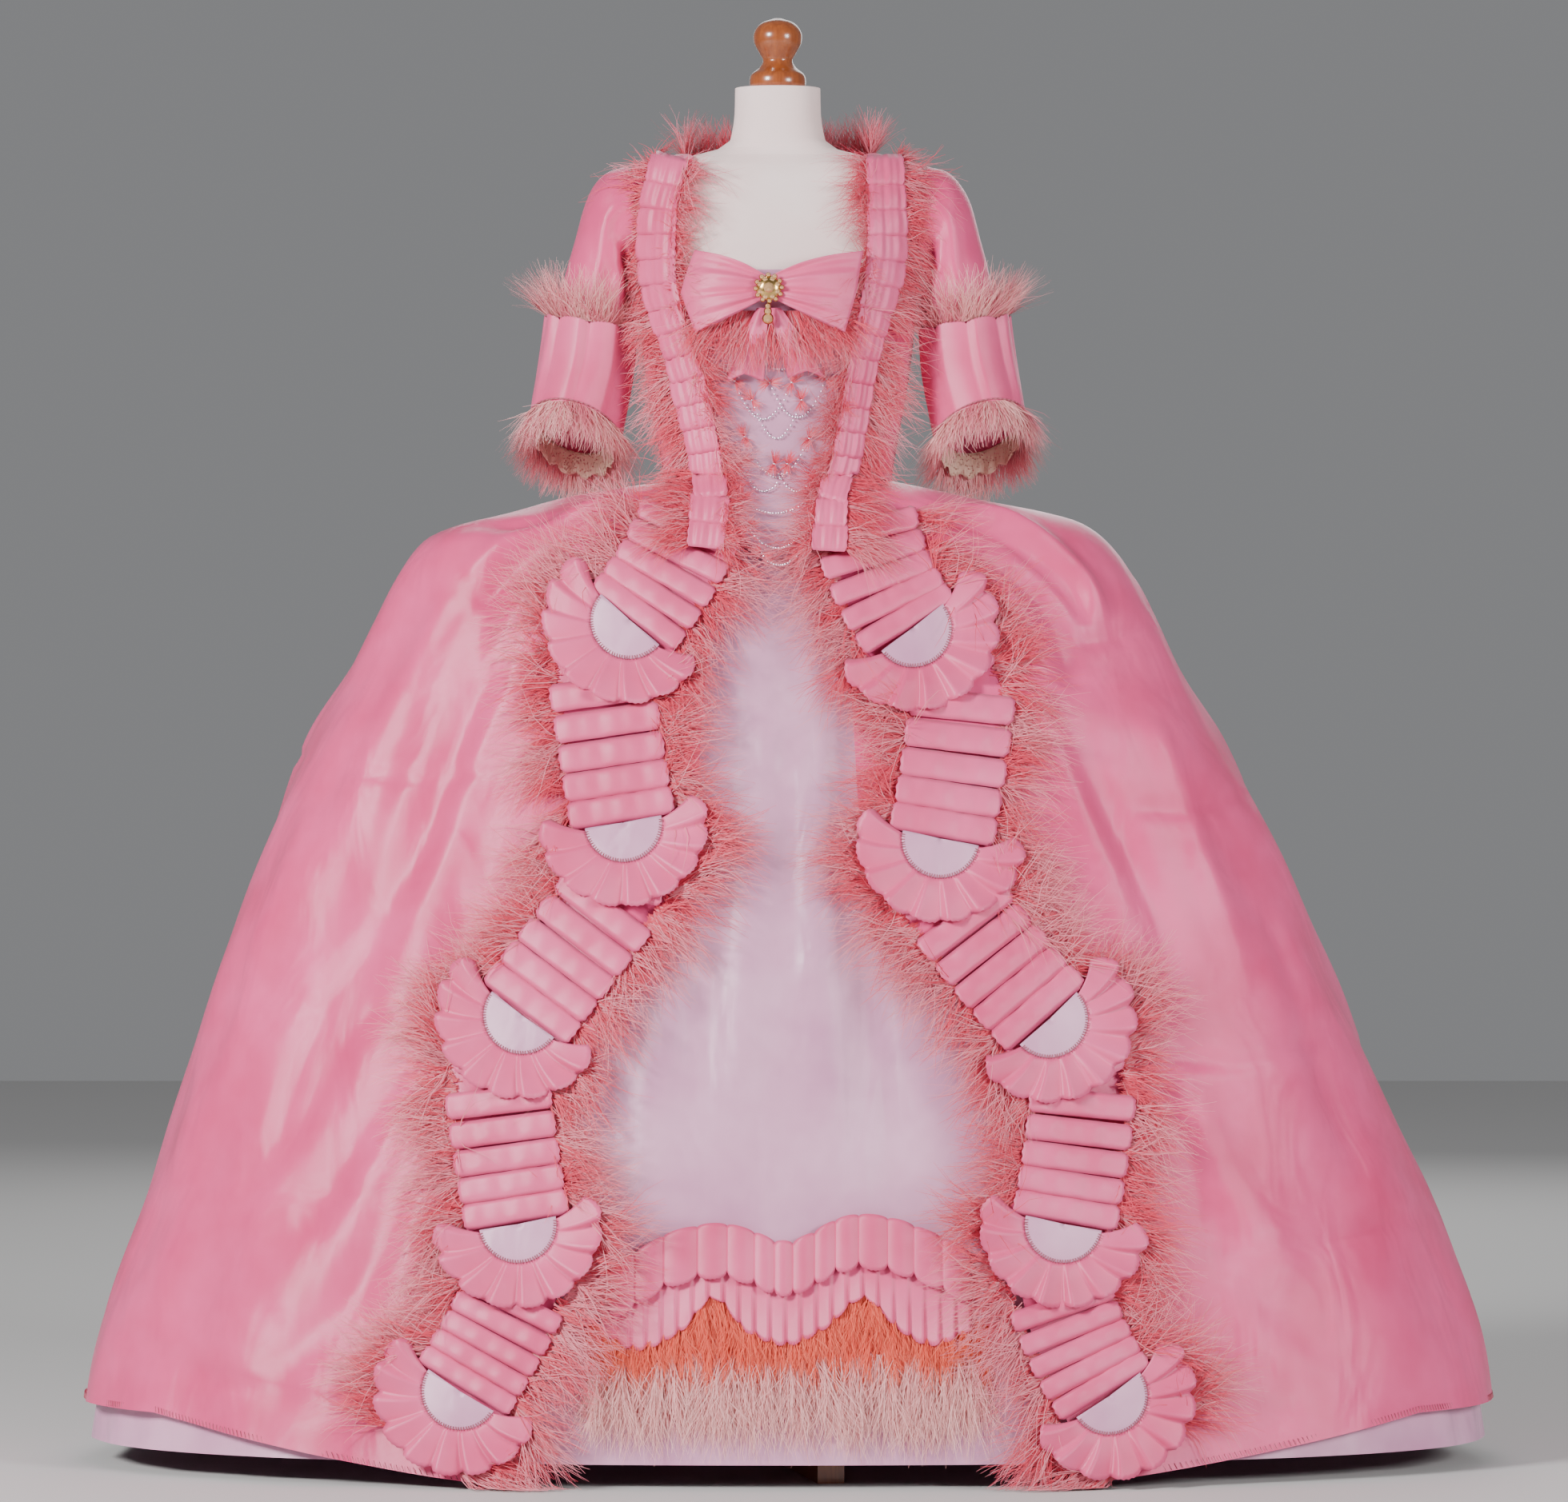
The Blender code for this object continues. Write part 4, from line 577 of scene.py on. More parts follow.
CRYSTAL = shiny_material("champagne_crystal", (0.78, 0.44, 0.20), 0.35, 0.06, 1.0)
SEQUIN = shiny_material("sequins", (0.52, 0.40, 0.50), 0.6, 0.28, 0.2)
THREAD = shiny_material("sewing_thread", (0.50, 0.12, 0.17), 0.0, 0.6)


# Making pieces

def put(name, data):
    made = bpy.data.objects.new(name, data)
    bpy.context.scene.collection.objects.link(made)
    return made


def add(name, points, faces, looks, nodes=(), smooth=True, thick=0.0, tones=None, picks=None):
    mesh = bpy.data.meshes.new(name)
    moved = np.asarray(points, float).reshape(-1, 3) + SHIFT
    mesh.from_pydata(moved.tolist(), [], faces)
    for look in looks:
        mesh.materials.append(look)
    if smooth:
        mesh.polygons.foreach_set("use_smooth", [True] * len(mesh.polygons))
    if picks is not None:
        mesh.polygons.foreach_set("material_index", picks)
    if tones is not None:
        tone = mesh.attributes.new("tone", "FLOAT", "POINT")
        tone.data.foreach_set("value", np.asarray(tones, np.float32))
    made = put(name, mesh)
    if thick:
        shell = made.modifiers.new("cloth", "SOLIDIFY")
        shell.thickness = thick
        shell.offset = 0.0
    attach(made, "root")
    if nodes:
        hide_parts(*nodes)
    return made


def grid_faces(rows, columns, closed, start=0):
    faces = []
    last = columns if closed else columns - 1
    for r in range(rows - 1):
        for c in range(last):
            a, b = start + r * columns + c, start + r * columns + (c + 1) % columns
            faces.append((a, a + columns, b + columns, b))
    return faces


def cloth(name, grid, looks, nodes, closed=False, thick=0.0):
    rows, columns = np.shape(grid)[:2]
    made = add(name, grid, grid_faces(rows, columns, closed), looks, nodes, thick=thick)


def patches(name, grids, looks, nodes):
    """Several small grids of cloth in one object."""
    points, faces = [], []
    for grid in grids:
        grid = np.asarray(grid)
        faces += grid_faces(*grid.shape[:2], False, len(points))
        points += grid.reshape(-1, 3).tolist()
    made = add(name, points, faces, looks, nodes, thick=TRIM_THICKNESS)


def barbs(name, feathers, looks, nodes, width, droop, curl, seed, steps=4, lowest=0.002):
    """Thin tapering barbs, each a bent ribbon. Feathers: roots, ways, ups, lengths and looks of all barbs."""
    wild = np.random.default_rng(seed)
    *fields, picks = feathers
    roots, ways, ups, lengths = (np.asarray(v, float) for v in fields)
    count = len(roots)
    ways = ways / np.linalg.norm(ways, axis=1, keepdims=True)
    side = np.cross(ways, ups)
    side /= np.maximum(np.linalg.norm(side, axis=1, keepdims=True), 1e-9)
    bend = wild.normal(size=(count, 1)) * curl
    fall = np.array([0.0, 0.0, -1.0]) * droop * (0.6 + 0.8 * wild.random((count, 1)))
    wobble = wild.uniform(0, 6.28, (count, 1))
    rows = []
    place = roots.copy()
    step = lengths.reshape(-1, 1) / steps
    for k in range(steps + 1):
        t = k / steps
        half = width * 0.5 * (1.0 - 0.8 * t)
        rows += [place - side * half, place + side * half]
        way = ways + side * (bend * t + 0.16 * np.sin(wobble + 7 * t)) + fall * t * t
        way /= np.linalg.norm(way, axis=1, keepdims=True)
        place = place + way * step
        place[:, 2] = np.maximum(place[:, 2], lowest)
        ahead = place[:, 1] < FOREMOST
        place[ahead, 1] = FOREMOST + (place[ahead, 1] - FOREMOST) * 0.25
    points = np.array(rows).transpose(1, 0, 2).reshape(-1, 3)
    base = np.arange(count)[:, None, None] * len(rows) + 2 * np.arange(steps)[None, :, None]
    faces = (base + np.array([0, 1, 3, 2])).reshape(-1, 4)
    tone = wild.random((count, 1)) * 0.6 + np.repeat(np.arange(steps + 1), 2)[None, :] / steps * 0.4
    add(name, points, faces.tolist(), looks, nodes, tones=tone.reshape(-1),
        picks=np.repeat(np.asarray(picks), steps).tolist())


def joined(parts):
    """One set of feathers for barbs() out of several."""
    return [np.concatenate(field) for field in zip(*parts)]


def mixed(which, share, wild):
    """Look of each barb, the same within a clump: 1 in about this share of the clumps, else 0."""
    return (wild.random(which.max() + 1) < share)[which].astype(int)


def plumes(places, count, spread, wild, clump=14, stand=0.28):
    """Roots, ways and ups of many barbs along a line of (place, way, up) rows, and the clump of each."""
    table = np.array([np.concatenate(row) for row in places])
    lengths = np.r_[0, np.cumsum(np.linalg.norm(np.diff(table[:, :3], axis=0), axis=1))]
    groups = max(count // clump, 1)
    middles = np.sort(wild.uniform(0, lengths[-1], groups))
    lean = wild.normal(size=(groups, 3)) * spread
    which = np.repeat(np.arange(groups), clump)
    s = np.clip(middles[which] + wild.normal(size=len(which)) * 0.005, 0, lengths[-1])
    found = np.array([np.interp(s, lengths, table[:, i]) for i in range(9)]).T
    ups = found[:, 6:9]
    ways = found[:, 3:6] + lean[which] + wild.normal(size=(len(which), 3)) * spread * 0.55
    rise = (ways * ups).sum(axis=1, keepdims=True)
    return found[:, 0:3], ways + ups * (np.clip(rise, 0.03, stand) - rise), ups, which


# Dress form

def build_form():
    heights = np.unique(np.concatenate([np.linspace(0.862, 1.524, 70), [row[0] for row in FORM]]))
    turns = np.linspace(0, 360, 72, endpoint=False)
    rings = [[FORM_BODY.point(float(z), float(t)) for t in turns] for z in heights]
    rows = len(rings)
    faces = grid_faces(rows, 72, True)
    faces += [tuple(range(72)), tuple((rows - 1) * 72 + c for c in reversed(range(72)))]
    add("form_cover", rings, faces, [COVER], ["form_torso"])
    profile = resample(np.array(FINIAL), 60)
    ring = np.linspace(0, 2 * math.pi, 40, endpoint=False)
    points = [[(r * math.cos(t), r * math.sin(t), z) for t in ring] for z, r in profile]
    faces = grid_faces(60, 40, True) + [tuple(range(40)), tuple(59 * 40 + c for c in reversed(range(40)))]
    add("turned_finial", points, faces, [WOOD], ["form_finial"])
    for name in ("stand_pole", "stand_base"):
        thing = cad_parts[name]
        thing.data.materials.clear()
        thing.data.materials.append(WOOD)


# Skirts

def build_robe():
    width = Curve([r[0] for r in SACK], [r[1] for r in SACK])
    creases = FRONT_CREASES + ROUND_CREASES
    lines = [[SKIRT_BODY.seen(a, d) for a, d in line] for _, _, line in FRONT_CREASES]
    lines += [[SKIRT_BODY.point(z, t) for t, z in line] for _, _, line in ROUND_CREASES]
    levels = np.linspace(0, 1, 130) ** 1.35
    for side in ("left", "right"):
        edge = edge_path(SKIRT_BODY, ROBE_EDGES[side])
        mirror = -1 if side == "left" else 1
        grid = []
        for level in levels:
            z = ROBE_TOP + (0.006 - ROBE_TOP) * float(level)
            start = SKIRT_BODY.turn_at(edge(z), z)
            end = SKIRT_BODY.turn_at(mirror * (width(z) + 0.0008), z, behind=True)
            end += 360 if side == "left" else 0
            row = []
            for share in np.linspace(0, 1, 150):
                turn = start + (end - start) * float(share)
                height = ROBE_TOP + (hem_height(turn) - ROBE_TOP) * float(level)
                row.append(SKIRT_BODY.point(height, turn, -0.001))
            grid.append(row)
        grid = np.array(grid)
        normals = grid_normals(grid, False)
        smooth_form = grid
        grid = creased(grid, normals, creases, lines)
        grid = swell(grid, normals, 0.15, 0.0038, 5 if side == "left" else 6)
        relief = ((grid - smooth_form) * normals).sum(axis=2)
        grid = grid + normals * np.maximum(DEEPEST_TROUGH - relief, 0.0)[..., None]
        grid[..., 2] = np.maximum(grid[..., 2], 0.004)
        cloth(f"robe_{side}", grid, [PINK], [f"robe_skirt_{side}"])


def build_petticoat():
    turns = np.linspace(0, 360, 240, endpoint=False)
    grid = []
    for level in np.linspace(0, 1, 100) ** 1.2:
        z = 1.079 + (0.028 - 1.079) * float(level)
        grid.append([PETTICOAT_BODY.point(z, float(t), -0.001) for t in turns])
    grid = np.array(grid)
    normals = grid_normals(grid, True)
    fade = np.clip((1.02 - grid[..., 2]) / 0.4, 0, 1)
    angle = np.radians(turns)[None, :]
    folds = np.sin(angle * 17 + 0.7 * np.sin(angle * 3)) * 0.5 + np.sin(angle * 29 + 1.3) * 0.3
    over_trims = np.clip((grid[..., 2] - 0.26) / 0.20, 0, 1)
    front = 1 + 2.2 * np.exp(-((angle - math.pi / 2) / 0.30) ** 2) * over_trims
    grid = grid + normals * (folds * fade * front * 0.0040)[..., None]
    lines = [[PETTICOAT_BODY.seen(a, d) for a, d in line] for _, _, line in PETTICOAT_CREASES]
    grid = creased(grid, normals, PETTICOAT_CREASES, lines)
    cloth("petticoat_cloth", grid, [PALE], ["petticoat"], closed=True)


def build_sack():
    width, stand_off, pleat = (Curve([r[0] for r in SACK], [r[i] for r in SACK]) for i in (1, 2, 3))
    shape = Curve([r[0] for r in SACK_PROFILE], [r[1] for r in SACK_PROFILE])
    grid = []
    for z in np.concatenate([np.linspace(1.432, 1.090, 50), np.linspace(1.085, 0.006, 90)]):
        z = float(z)
        level = (ROBE_TOP - z) / (ROBE_TOP - 0.006)
        row = []
        for u in np.linspace(-1, 1, 141):
            u = float(u)
            x = u * width(z)
            low = z
            if z > 1.0855:
                base = BODICE_BODY.bare(z, BODICE_BODY.turn_at(x, z, behind=True))[1] + 0.0080
            else:
                turn = SKIRT_BODY.turn_at(x, z, behind=True)
                low = ROBE_TOP + (hem_height(turn) - ROBE_TOP) * level
                base = SKIRT_BODY.bare(low, SKIRT_BODY.turn_at(x, low, behind=True))[1]
            lift = stand_off(z) * (1 - abs(u) ** 3) + pleat(z) * shape(abs(u)) - 0.001
            row.append((x, base + lift, low))
        grid.append(row)
    grid = np.array(grid)
    grid = swell(grid, grid_normals(grid, False), 0.22, 0.0020, 9)
    grid[..., 2] = np.maximum(grid[..., 2], 0.004)
    cloth("sack_cloth", grid, [PINK], ["sack_back"])


# Bodice

FRONT_ROWS = [
    (1.4535, 1.436, 0), (1.447, 1.424, 15), (1.430, 1.400, 24), (1.400, 1.370, 26), (1.365, 1.340, 20),
    (1.330, 1.318, 8), (1.295, 1.295, 0), (1.250, 1.250, 0), (1.200, 1.200, 0), (1.145, 1.150, 0),
    (1.098, 1.112, 0), (1.083, 1.104, 0), (1.068, 1.098, 0), (1.045, 1.093, 0), (1.014, 1.0882, 0),
]
ARMHOLE_BACK = (0, 12, 20, 22, 17, 7)
BACK_MIDDLE = (1.436, 1.424, 1.402, 1.372, 1.342, 1.318)


def build_bodice():
    for side in ("left", "right"):
        edge = edge_path(BODICE_BODY, EDGES[side])
        mirror = -1 if side == "left" else 1
        grid = []
        for n, (z_edge, z_side, arm) in enumerate(FRONT_ROWS):
            start = BODICE_BODY.turn_at(edge(z_edge), z_edge) if n else (180 if side == "left" else 0)
            end = 180 - arm if side == "left" else arm
            row = []
            for i in range(13):
                f = i / 12
                z = z_side + (z_edge - z_side) * (1 - f) ** (3 if z_edge < 1.10 else 1.5)
                turn = start + (end - start) * f
                if z_edge < 1.10 and f < 1:
                    wide = BODICE_BODY.left(z_side) * mirror
                    turn = BODICE_BODY.turn_at(edge(z_edge) + (wide - edge(z_edge)) * f, z)
                row.append(BODICE_BODY.point(z, turn, -0.001))
            grid.append(row)
        grid = refine(grid, 60, 30)
        grid = over_form(swell(grid, grid_normals(grid, False), 0.07, 0.0006, 12))
        cloth(f"bodice_front_cloth_{side}", grid, [PINK], [f"bodice_front_{side}"])
    grid = []
    for n, (_, z_side, _) in enumerate(FRONT_ROWS):
        z_mid = BACK_MIDDLE[n] if n < len(BACK_MIDDLE) else z_side
        arm = ARMHOLE_BACK[n] if n < len(ARMHOLE_BACK) else 0
        row = []
        for i in range(21):
            f = i / 10 - 1
            share = abs(f)
            turn = 90 * (1 - share) + arm * share
            z = z_mid + (z_side - z_mid) * share
            if n == 0:
                turn = 90 * max(1 - share / 0.55, 0)
                z = z_mid + 0.017 * share / 0.55 if share < 0.55 else 1.453 - 0.017 * (share - 0.55) / 0.45
            row.append(BODICE_BODY.point(z, -turn if f >= 0 else 180 + turn, -0.001))
        grid.append(row)
    grid = over_form(refine(grid, 60, 46))
    cloth("bodice_back_cloth", grid, [PINK], ["bodice_back"])
    heights = [r[0] for r in reversed(STOMACHER)]
    half = Curve(heights, [r[1] for r in reversed(STOMACHER)])
    inset = Curve(heights, [r[2] for r in reversed(STOMACHER)])
    grid = []
    for z in np.linspace(1.318, 0.998, 60):
        z = float(z)
        row = []
        for u in np.linspace(-1, 1, 40):
            turn = BODICE_BODY.turn_at(half(z) * float(u), z)
            row.append(BODICE_BODY.point(z, turn, -inset(z) - 0.0007))
        grid.append(row)
    cloth("stomacher_cloth", grid, [PALE], ["stomacher"])


def limb_ring(row, mirror, count, grow=0.0, drop=0.0, wave=None):
    out_x, out_z, in_x, in_z, deep, mid_y, rise = row
    outer, inner = np.array([out_x, out_z]), np.array([in_x, in_z])
    middle, arm = (outer + inner) / 2, (outer - inner) / 2
    way = unit(arm)
    ring = []
    for i in range(count):
        angle = 2 * math.pi * i / count
        reach = grow + (wave(angle) if wave else 0.0)
        c, s = math.cos(angle), math.sin(angle)
        across = middle + (arm + way * reach) * c
        y = mid_y - (deep + reach) * s
        ring.append((mirror * across[0], y, across[1] - rise * (y - mid_y) - drop))
    return ring


def table_row(table, share):
    return resample(np.array(table), 101)[int(round(share * 100))]


def pleat_fold(share, pleats, sharp=0.25):
    """One-way knife pleat: rises slowly, then drops."""
    t = (share * pleats) % 1.0
    return t / (1 - sharp) if t < 1 - sharp else (1 - t) / sharp


def build_sleeves():
    for side, mirror in (("left", -1), ("right", 1)):
        count = 72
        head = []
        for i in range(count):
            angle = 2 * math.pi * i / count
            y = -0.053 * math.sin(angle)
            z = 1.3765 + 0.0615 * math.cos(angle)
            deep = BODICE_BODY.front(z) if y < 0 else BODICE_BODY.back(z)
            wide = BODICE_BODY.right(z)
            x = wide * (1 - min(abs(y) / deep, 0.97) ** POWER) ** (1 / POWER)
            head.append((mirror * (x + 0.0046), y, z))
        rings = [head] + [limb_ring(row, mirror, count, grow=-0.0008) for row in SLEEVE]
        grid = resample(np.array(rings), 56)
        normals = grid - grid.mean(axis=1, keepdims=True)
        normals /= np.linalg.norm(normals, axis=2, keepdims=True)
        lines = []
        for start, end in ((18, 30), (22, 40), (14, 20), (30, 12), (48, 60), (54, 44)):
            lines.append([grid[int(4 + 44 * t), int(start + (end - start) * t) % count]
                          for t in np.linspace(0, 1, 5)])
        grid = swell(creased(grid, normals, SLEEVE_CREASES, lines), normals, 0.06, 0.0007, 21)
        cloth(f"sleeve_cloth_{side}", grid, [PINK], [f"sleeve_{side}"], closed=True)
        count = 160
        grid = []
        for share in np.linspace(0, 1, 24):
            row = table_row(CUFF, float(share))
            depth = 0.0058 * (1.0 - 0.62 * float(share))
            ring = np.array(limb_ring(
                row, mirror, count,
                wave=lambda a: -0.0012 + depth * pleat_fold(a / (2 * math.pi), CUFF_PLEATS)))
            if share < 0.12:
                lobes = np.array([abs(math.sin(math.pi * CUFF_PLEATS * i / count)) ** 0.6
                                  for i in range(count)])
                teeth = np.array([abs(((i * 0.5) % 1) - 0.5) for i in range(count)])
                ring[:, 2] += (0.0045 * lobes - 0.002 * teeth) * (1 - share / 0.12)
            grid.append(ring)
        cloth(f"cuff_cloth_{side}", grid, [TRIM], [f"cuff_{side}"], closed=True)
        low = CUFF[-1]
        grid = []
        for share in np.linspace(0, 1, 8):
            grow = -0.0100 + 0.0014 * share
            ring = np.array(limb_ring(low, mirror, 160, grow=float(grow), drop=-0.010 + 0.028 * float(share),
                                      wave=lambda a: 0.0012 * math.sin(a * 20) * share))
            lobes = np.array([abs(math.sin(math.pi * 12 * i / 160)) for i in range(160)])
            ring[:, 2] += (1 - lobes) * 0.006 * share
            grid.append(ring)
        cloth(f"lace_cloth_{side}", grid, [LACE], [f"lace_{side}"], closed=True, thick=0.0004)


# Trims

def strip_grid(body, centre, way, half, deep, lift, rise, teeth):
    """One ruched strip across a band: domed over its depth, with round pinked ends."""
    cross = np.array([-way[1], way[0]])
    grid = []
    rows, columns = 7, 30
    for r in range(rows):
        v = r / (rows - 1)
        row = []
        for c in range(columns):
            u = 2 * c / (columns - 1) - 1
            end = math.sqrt(max(1 - abs(2 * v - 1) ** 2.6, 0.0))
            reach = half * (0.93 + 0.07 * end)
            zig = teeth * (1 if (r % 2) else -1) * (1 if abs(u) > 0.99 else 0)
            place = centre + way * deep * v + cross * (u * reach + zig * math.copysign(1, u))
            dome = math.sin(math.pi * min(v * 0.92 + 0.05, 1.0)) ** 0.45
            soft = (0.0007 * math.sin(u * 7 + centre[0]) + 0.0005 * math.sin(u * 15 + centre[1])) * dome
            row.append(body.seen(place[0], place[1], lift + rise * dome + 0.0012 * v + soft))
        grid.append(row)
    return grid


def build_skirt_trims(side):
    bands = []
    for n, run in enumerate(RUNS[side]):
        stops = [run_place(run, i / 8)[0] for i in range(9)]
        length = sum(np.linalg.norm(b - a) for a, b in zip(stops, stops[1:]))
        for strip in range(STRIPS_A_RUN):
            place, way = run_place(run, strip / STRIPS_A_RUN * 0.985)
            deep = length / STRIPS_A_RUN * 0.97
            bands.append(strip_grid(SKIRT_BODY, place, way, BAND_HALF, deep, 0.0046, 0.0056, 0.9))
        if n + 1 < len(RUNS[side]):
            follow = RUNS[side][n + 1]
            centre, way = run_place(run, 1.0)
            bridge = centre + way * 52
            target, _ = run_place(follow, 0.0)
            bands.append(strip_grid(SKIRT_BODY, (bridge + target) / 2 - way * 12, unit(target - centre),
                                    58, 34, 0.0042, 0.0024, 0.9))
    patches(f"skirt_bands_{side}", bands, [TRIM], [f"skirt_band_{side}"])
    wild = np.random.default_rng(31)
    stitches = []
    for n, run in enumerate(RUNS[side]):
        centre, way = np.array(run[2:4], float), unit(np.array(run[4:6]))
        cross = np.array([-way[1], way[0]])

        def place(radius, degrees):
            angle = math.radians(degrees)
            return centre + way * (radius * math.cos(angle) + 3) + cross * radius * math.sin(angle)

        moon = []
        for r in range(9):
            radius = MOON_RADIUS * math.sin(math.pi / 2 * r / 8) if r else 0.5
            dome = 0.0028 * math.cos(math.pi / 2 * r / 8)
            moon.append([SKIRT_BODY.seen(*place(radius, -92 + 184 * i / 30), 0.0105 + dome)
                         for i in range(31)])
        patches(f"halfmoon_cloth_{side}_{n + 1}", [moon], [PALE], [f"halfmoon_{side}_{n + 1}"])
        columns = FAN_PLEATS * 12 + 1
        grid = []
        for r in range(10):
            v = r / 9
            spread_to = 88 + 15 * v
            row = []
            for i in range(columns):
                share = i / (columns - 1)
                fold = pleat_fold(share, FAN_PLEATS, 0.22)
                lobe = abs(math.sin(math.pi * FAN_PLEATS * share)) ** 0.55
                tooth = 1.4 if i % 2 else 0.0
                outer = FAN_OUTER - 7 + 7 * lobe - tooth
                ends = 1 - 0.10 * max(0.0, abs(2 * share - 1) - 0.86) / 0.14
                radius = FAN_INNER + (outer * ends - FAN_INNER) * v
                lift = 0.0098 + 0.0008 * v + 0.0118 * fold * v ** 0.7 + 0.0010 * math.sin(math.pi * v)
                droop = 0.0012 * math.sin(share * 19 + n) * v
                row.append(SKIRT_BODY.seen(*place(radius, -spread_to + 2 * spread_to * share), lift + droop))
            grid.append(row)
        grid = np.array(grid)
        grid[..., 2] = np.maximum(grid[..., 2], 0.004)
        patches(f"fan_cloth_{side}_{n + 1}", [grid], [TRIM], [f"fan_{side}_{n + 1}"])
        for i in range(44):
            angle = -86 + 172 * i / 43
            one = SKIRT_BODY.seen(*place(MOON_RADIUS - 3.6, angle), 0.0122)
            two = SKIRT_BODY.seen(*place(MOON_RADIUS + 1.4, angle + wild.uniform(-1, 1.6)), 0.0124)
            stitches.append((one, two))
    sew(f"moon_stitches_{side}", stitches, THREAD, 0.0005)
    build_skirt_feathers(side)


def sew(name, pairs, look, radius):
    """Small four-sided stitches between pairs of points."""
    points, faces = [], []
    for one, two in pairs:
        way = unit(two - one)
        side = unit(np.cross(way, (0.0, -1.0, 0.15))) * radius
        up = unit(np.cross(side, way)) * radius
        start = len(points)
        for end in (one, two):
            points += [end + side, end + up, end - side, end - up]
        for k in range(4):
            m = (k + 1) % 4
            faces.append((start + k, start + m, start + 4 + m, start + 4 + k))
        faces += [(start, start + 1, start + 2, start + 3), (start + 7, start + 6, start + 5, start + 4)]
    return add(name, points, faces, [look])


def build_skirt_feathers(side):
    wild = np.random.default_rng(40 if side == "left" else 41)
    stations = []
    for run in RUNS[side]:
        stations += [(*run_place(run, share), 58) for share in (0.05, 0.3, 0.6, 0.85)]
        centre, way = np.array(run[2:4], float), unit(np.array(run[4:6]))
        stations += [(centre + way * step, way, half) for step, half in ((0, 80), (32, 88), (66, 76))]
    last = stations[-1]
    stations.append((last[0] + last[1] * 22, last[1], 50))
    parts = []
    for sign in (-1, 1):
        rows = []
        for place, way, half in stations:
            z, turn = SKIRT_BODY.spot(place[0] - way[1] * half * sign, place[1] + way[0] * half * sign)
            reach = (half + 30) * sign
            far = SKIRT_BODY.seen(place[0] - way[1] * reach, place[1] + way[0] * reach)
            up = SKIRT_BODY.normal(z, turn)
            out = unit(far - SKIRT_BODY.point(z, turn))
            rows.append((SKIRT_BODY.point(z, turn, 0.0025), out + up * 0.14 + np.array([0, 0, -0.18]), up))
        for inward, count, short, long, dusty in (
                (0.008, 3500, 0.038, 0.062, 0.25), (0.004, 2500, 0.058, 0.100, 0.72)):
            root, way, up, which = plumes(rows, count, 0.30, wild)
            back = inward * wild.random((len(root), 1))
            root = root - way * back + up * wild.uniform(0.0, 0.002, (len(root), 1))
            parts.append((root, way, up, wild.uniform(short, long, len(root)), mixed(which, dusty, wild)))
    barbs(f"skirt_feathers_{side}", joined(parts), [CORAL, DUSTY], [f"skirt_fringe_{side}"],
          width=0.0011, droop=0.55, curl=0.75, seed=50, lowest=0.003)


def build_bodice_trims(side):
    path = BODICE_BANDS[side]
    tabs = []
    for tab in range(TABS_A_SIDE):
        share = tab / TABS_A_SIDE
        after = along_path(path, min(share + 0.98 / TABS_A_SIDE, 1.0))
        mid, down, half = along_path(path, share)
        ahead = after[:2] - np.array([mid, down])
        tabs.append(strip_grid(BODICE_BODY, np.array([mid, down]), unit(ahead), half + 1.5,
                               np.linalg.norm(ahead) * 1.16, 0.0058, 0.0028, 0.7))
    patches(f"bodice_tabs_{side}", tabs, [TRIM], [f"bodice_band_{side}"])
    wild = np.random.default_rng(60 if side == "left" else 61)
    parts = []
    for sign in (-1, 1):
        rows = []
        for share in map(float, np.linspace(0.0, 1.0, 26)):
            mid, down, half = along_path(path, share)
            before, after = along_path(path, max(share - 0.02, 0)), along_path(path, min(share + 0.02, 1))
            way = unit(after[:2] - before[:2])
            cross = np.array([-way[1], way[0]]) * sign
            z, turn = BODICE_BODY.spot(mid + cross[0] * half * 0.85, down + cross[1] * half * 0.85)
            up = BODICE_BODY.normal(z, turn)
            far = BODICE_BODY.seen(mid + cross[0] * (half + 14), down + cross[1] * (half + 14))
            out = unit(far - BODICE_BODY.point(z, turn))
            outside = (cross[0] < 0) == (side == "left")
            scale = 1.0 if outside else 0.30 if 300 < down < 420 else 0.46
            rows.append((BODICE_BODY.point(z, turn, 0.0030),
                         (out + up * 0.30 + np.array([0, 0, -0.30])) * scale, up))
        for count, short, long, dusty in ((1750, 0.030, 0.050, 0.25), (1250, 0.045, 0.080, 0.65)):
            root, way, up, which = plumes(rows, count, 0.26, wild, 12)
            scale = np.clip(np.linalg.norm(way, axis=1), 0.35, 1.1)
            root = root + up * wild.uniform(0.0, 0.004, (len(root), 1))
            parts.append((root, way, up, wild.uniform(short, long, len(root)) * scale,
                          mixed(which, dusty, wild)))
    barbs(f"bodice_feathers_{side}", joined(parts), [CORAL, DUSTY], [f"bodice_fringe_{side}"],
          width=0.0009, droop=0.8, curl=0.7, seed=70)


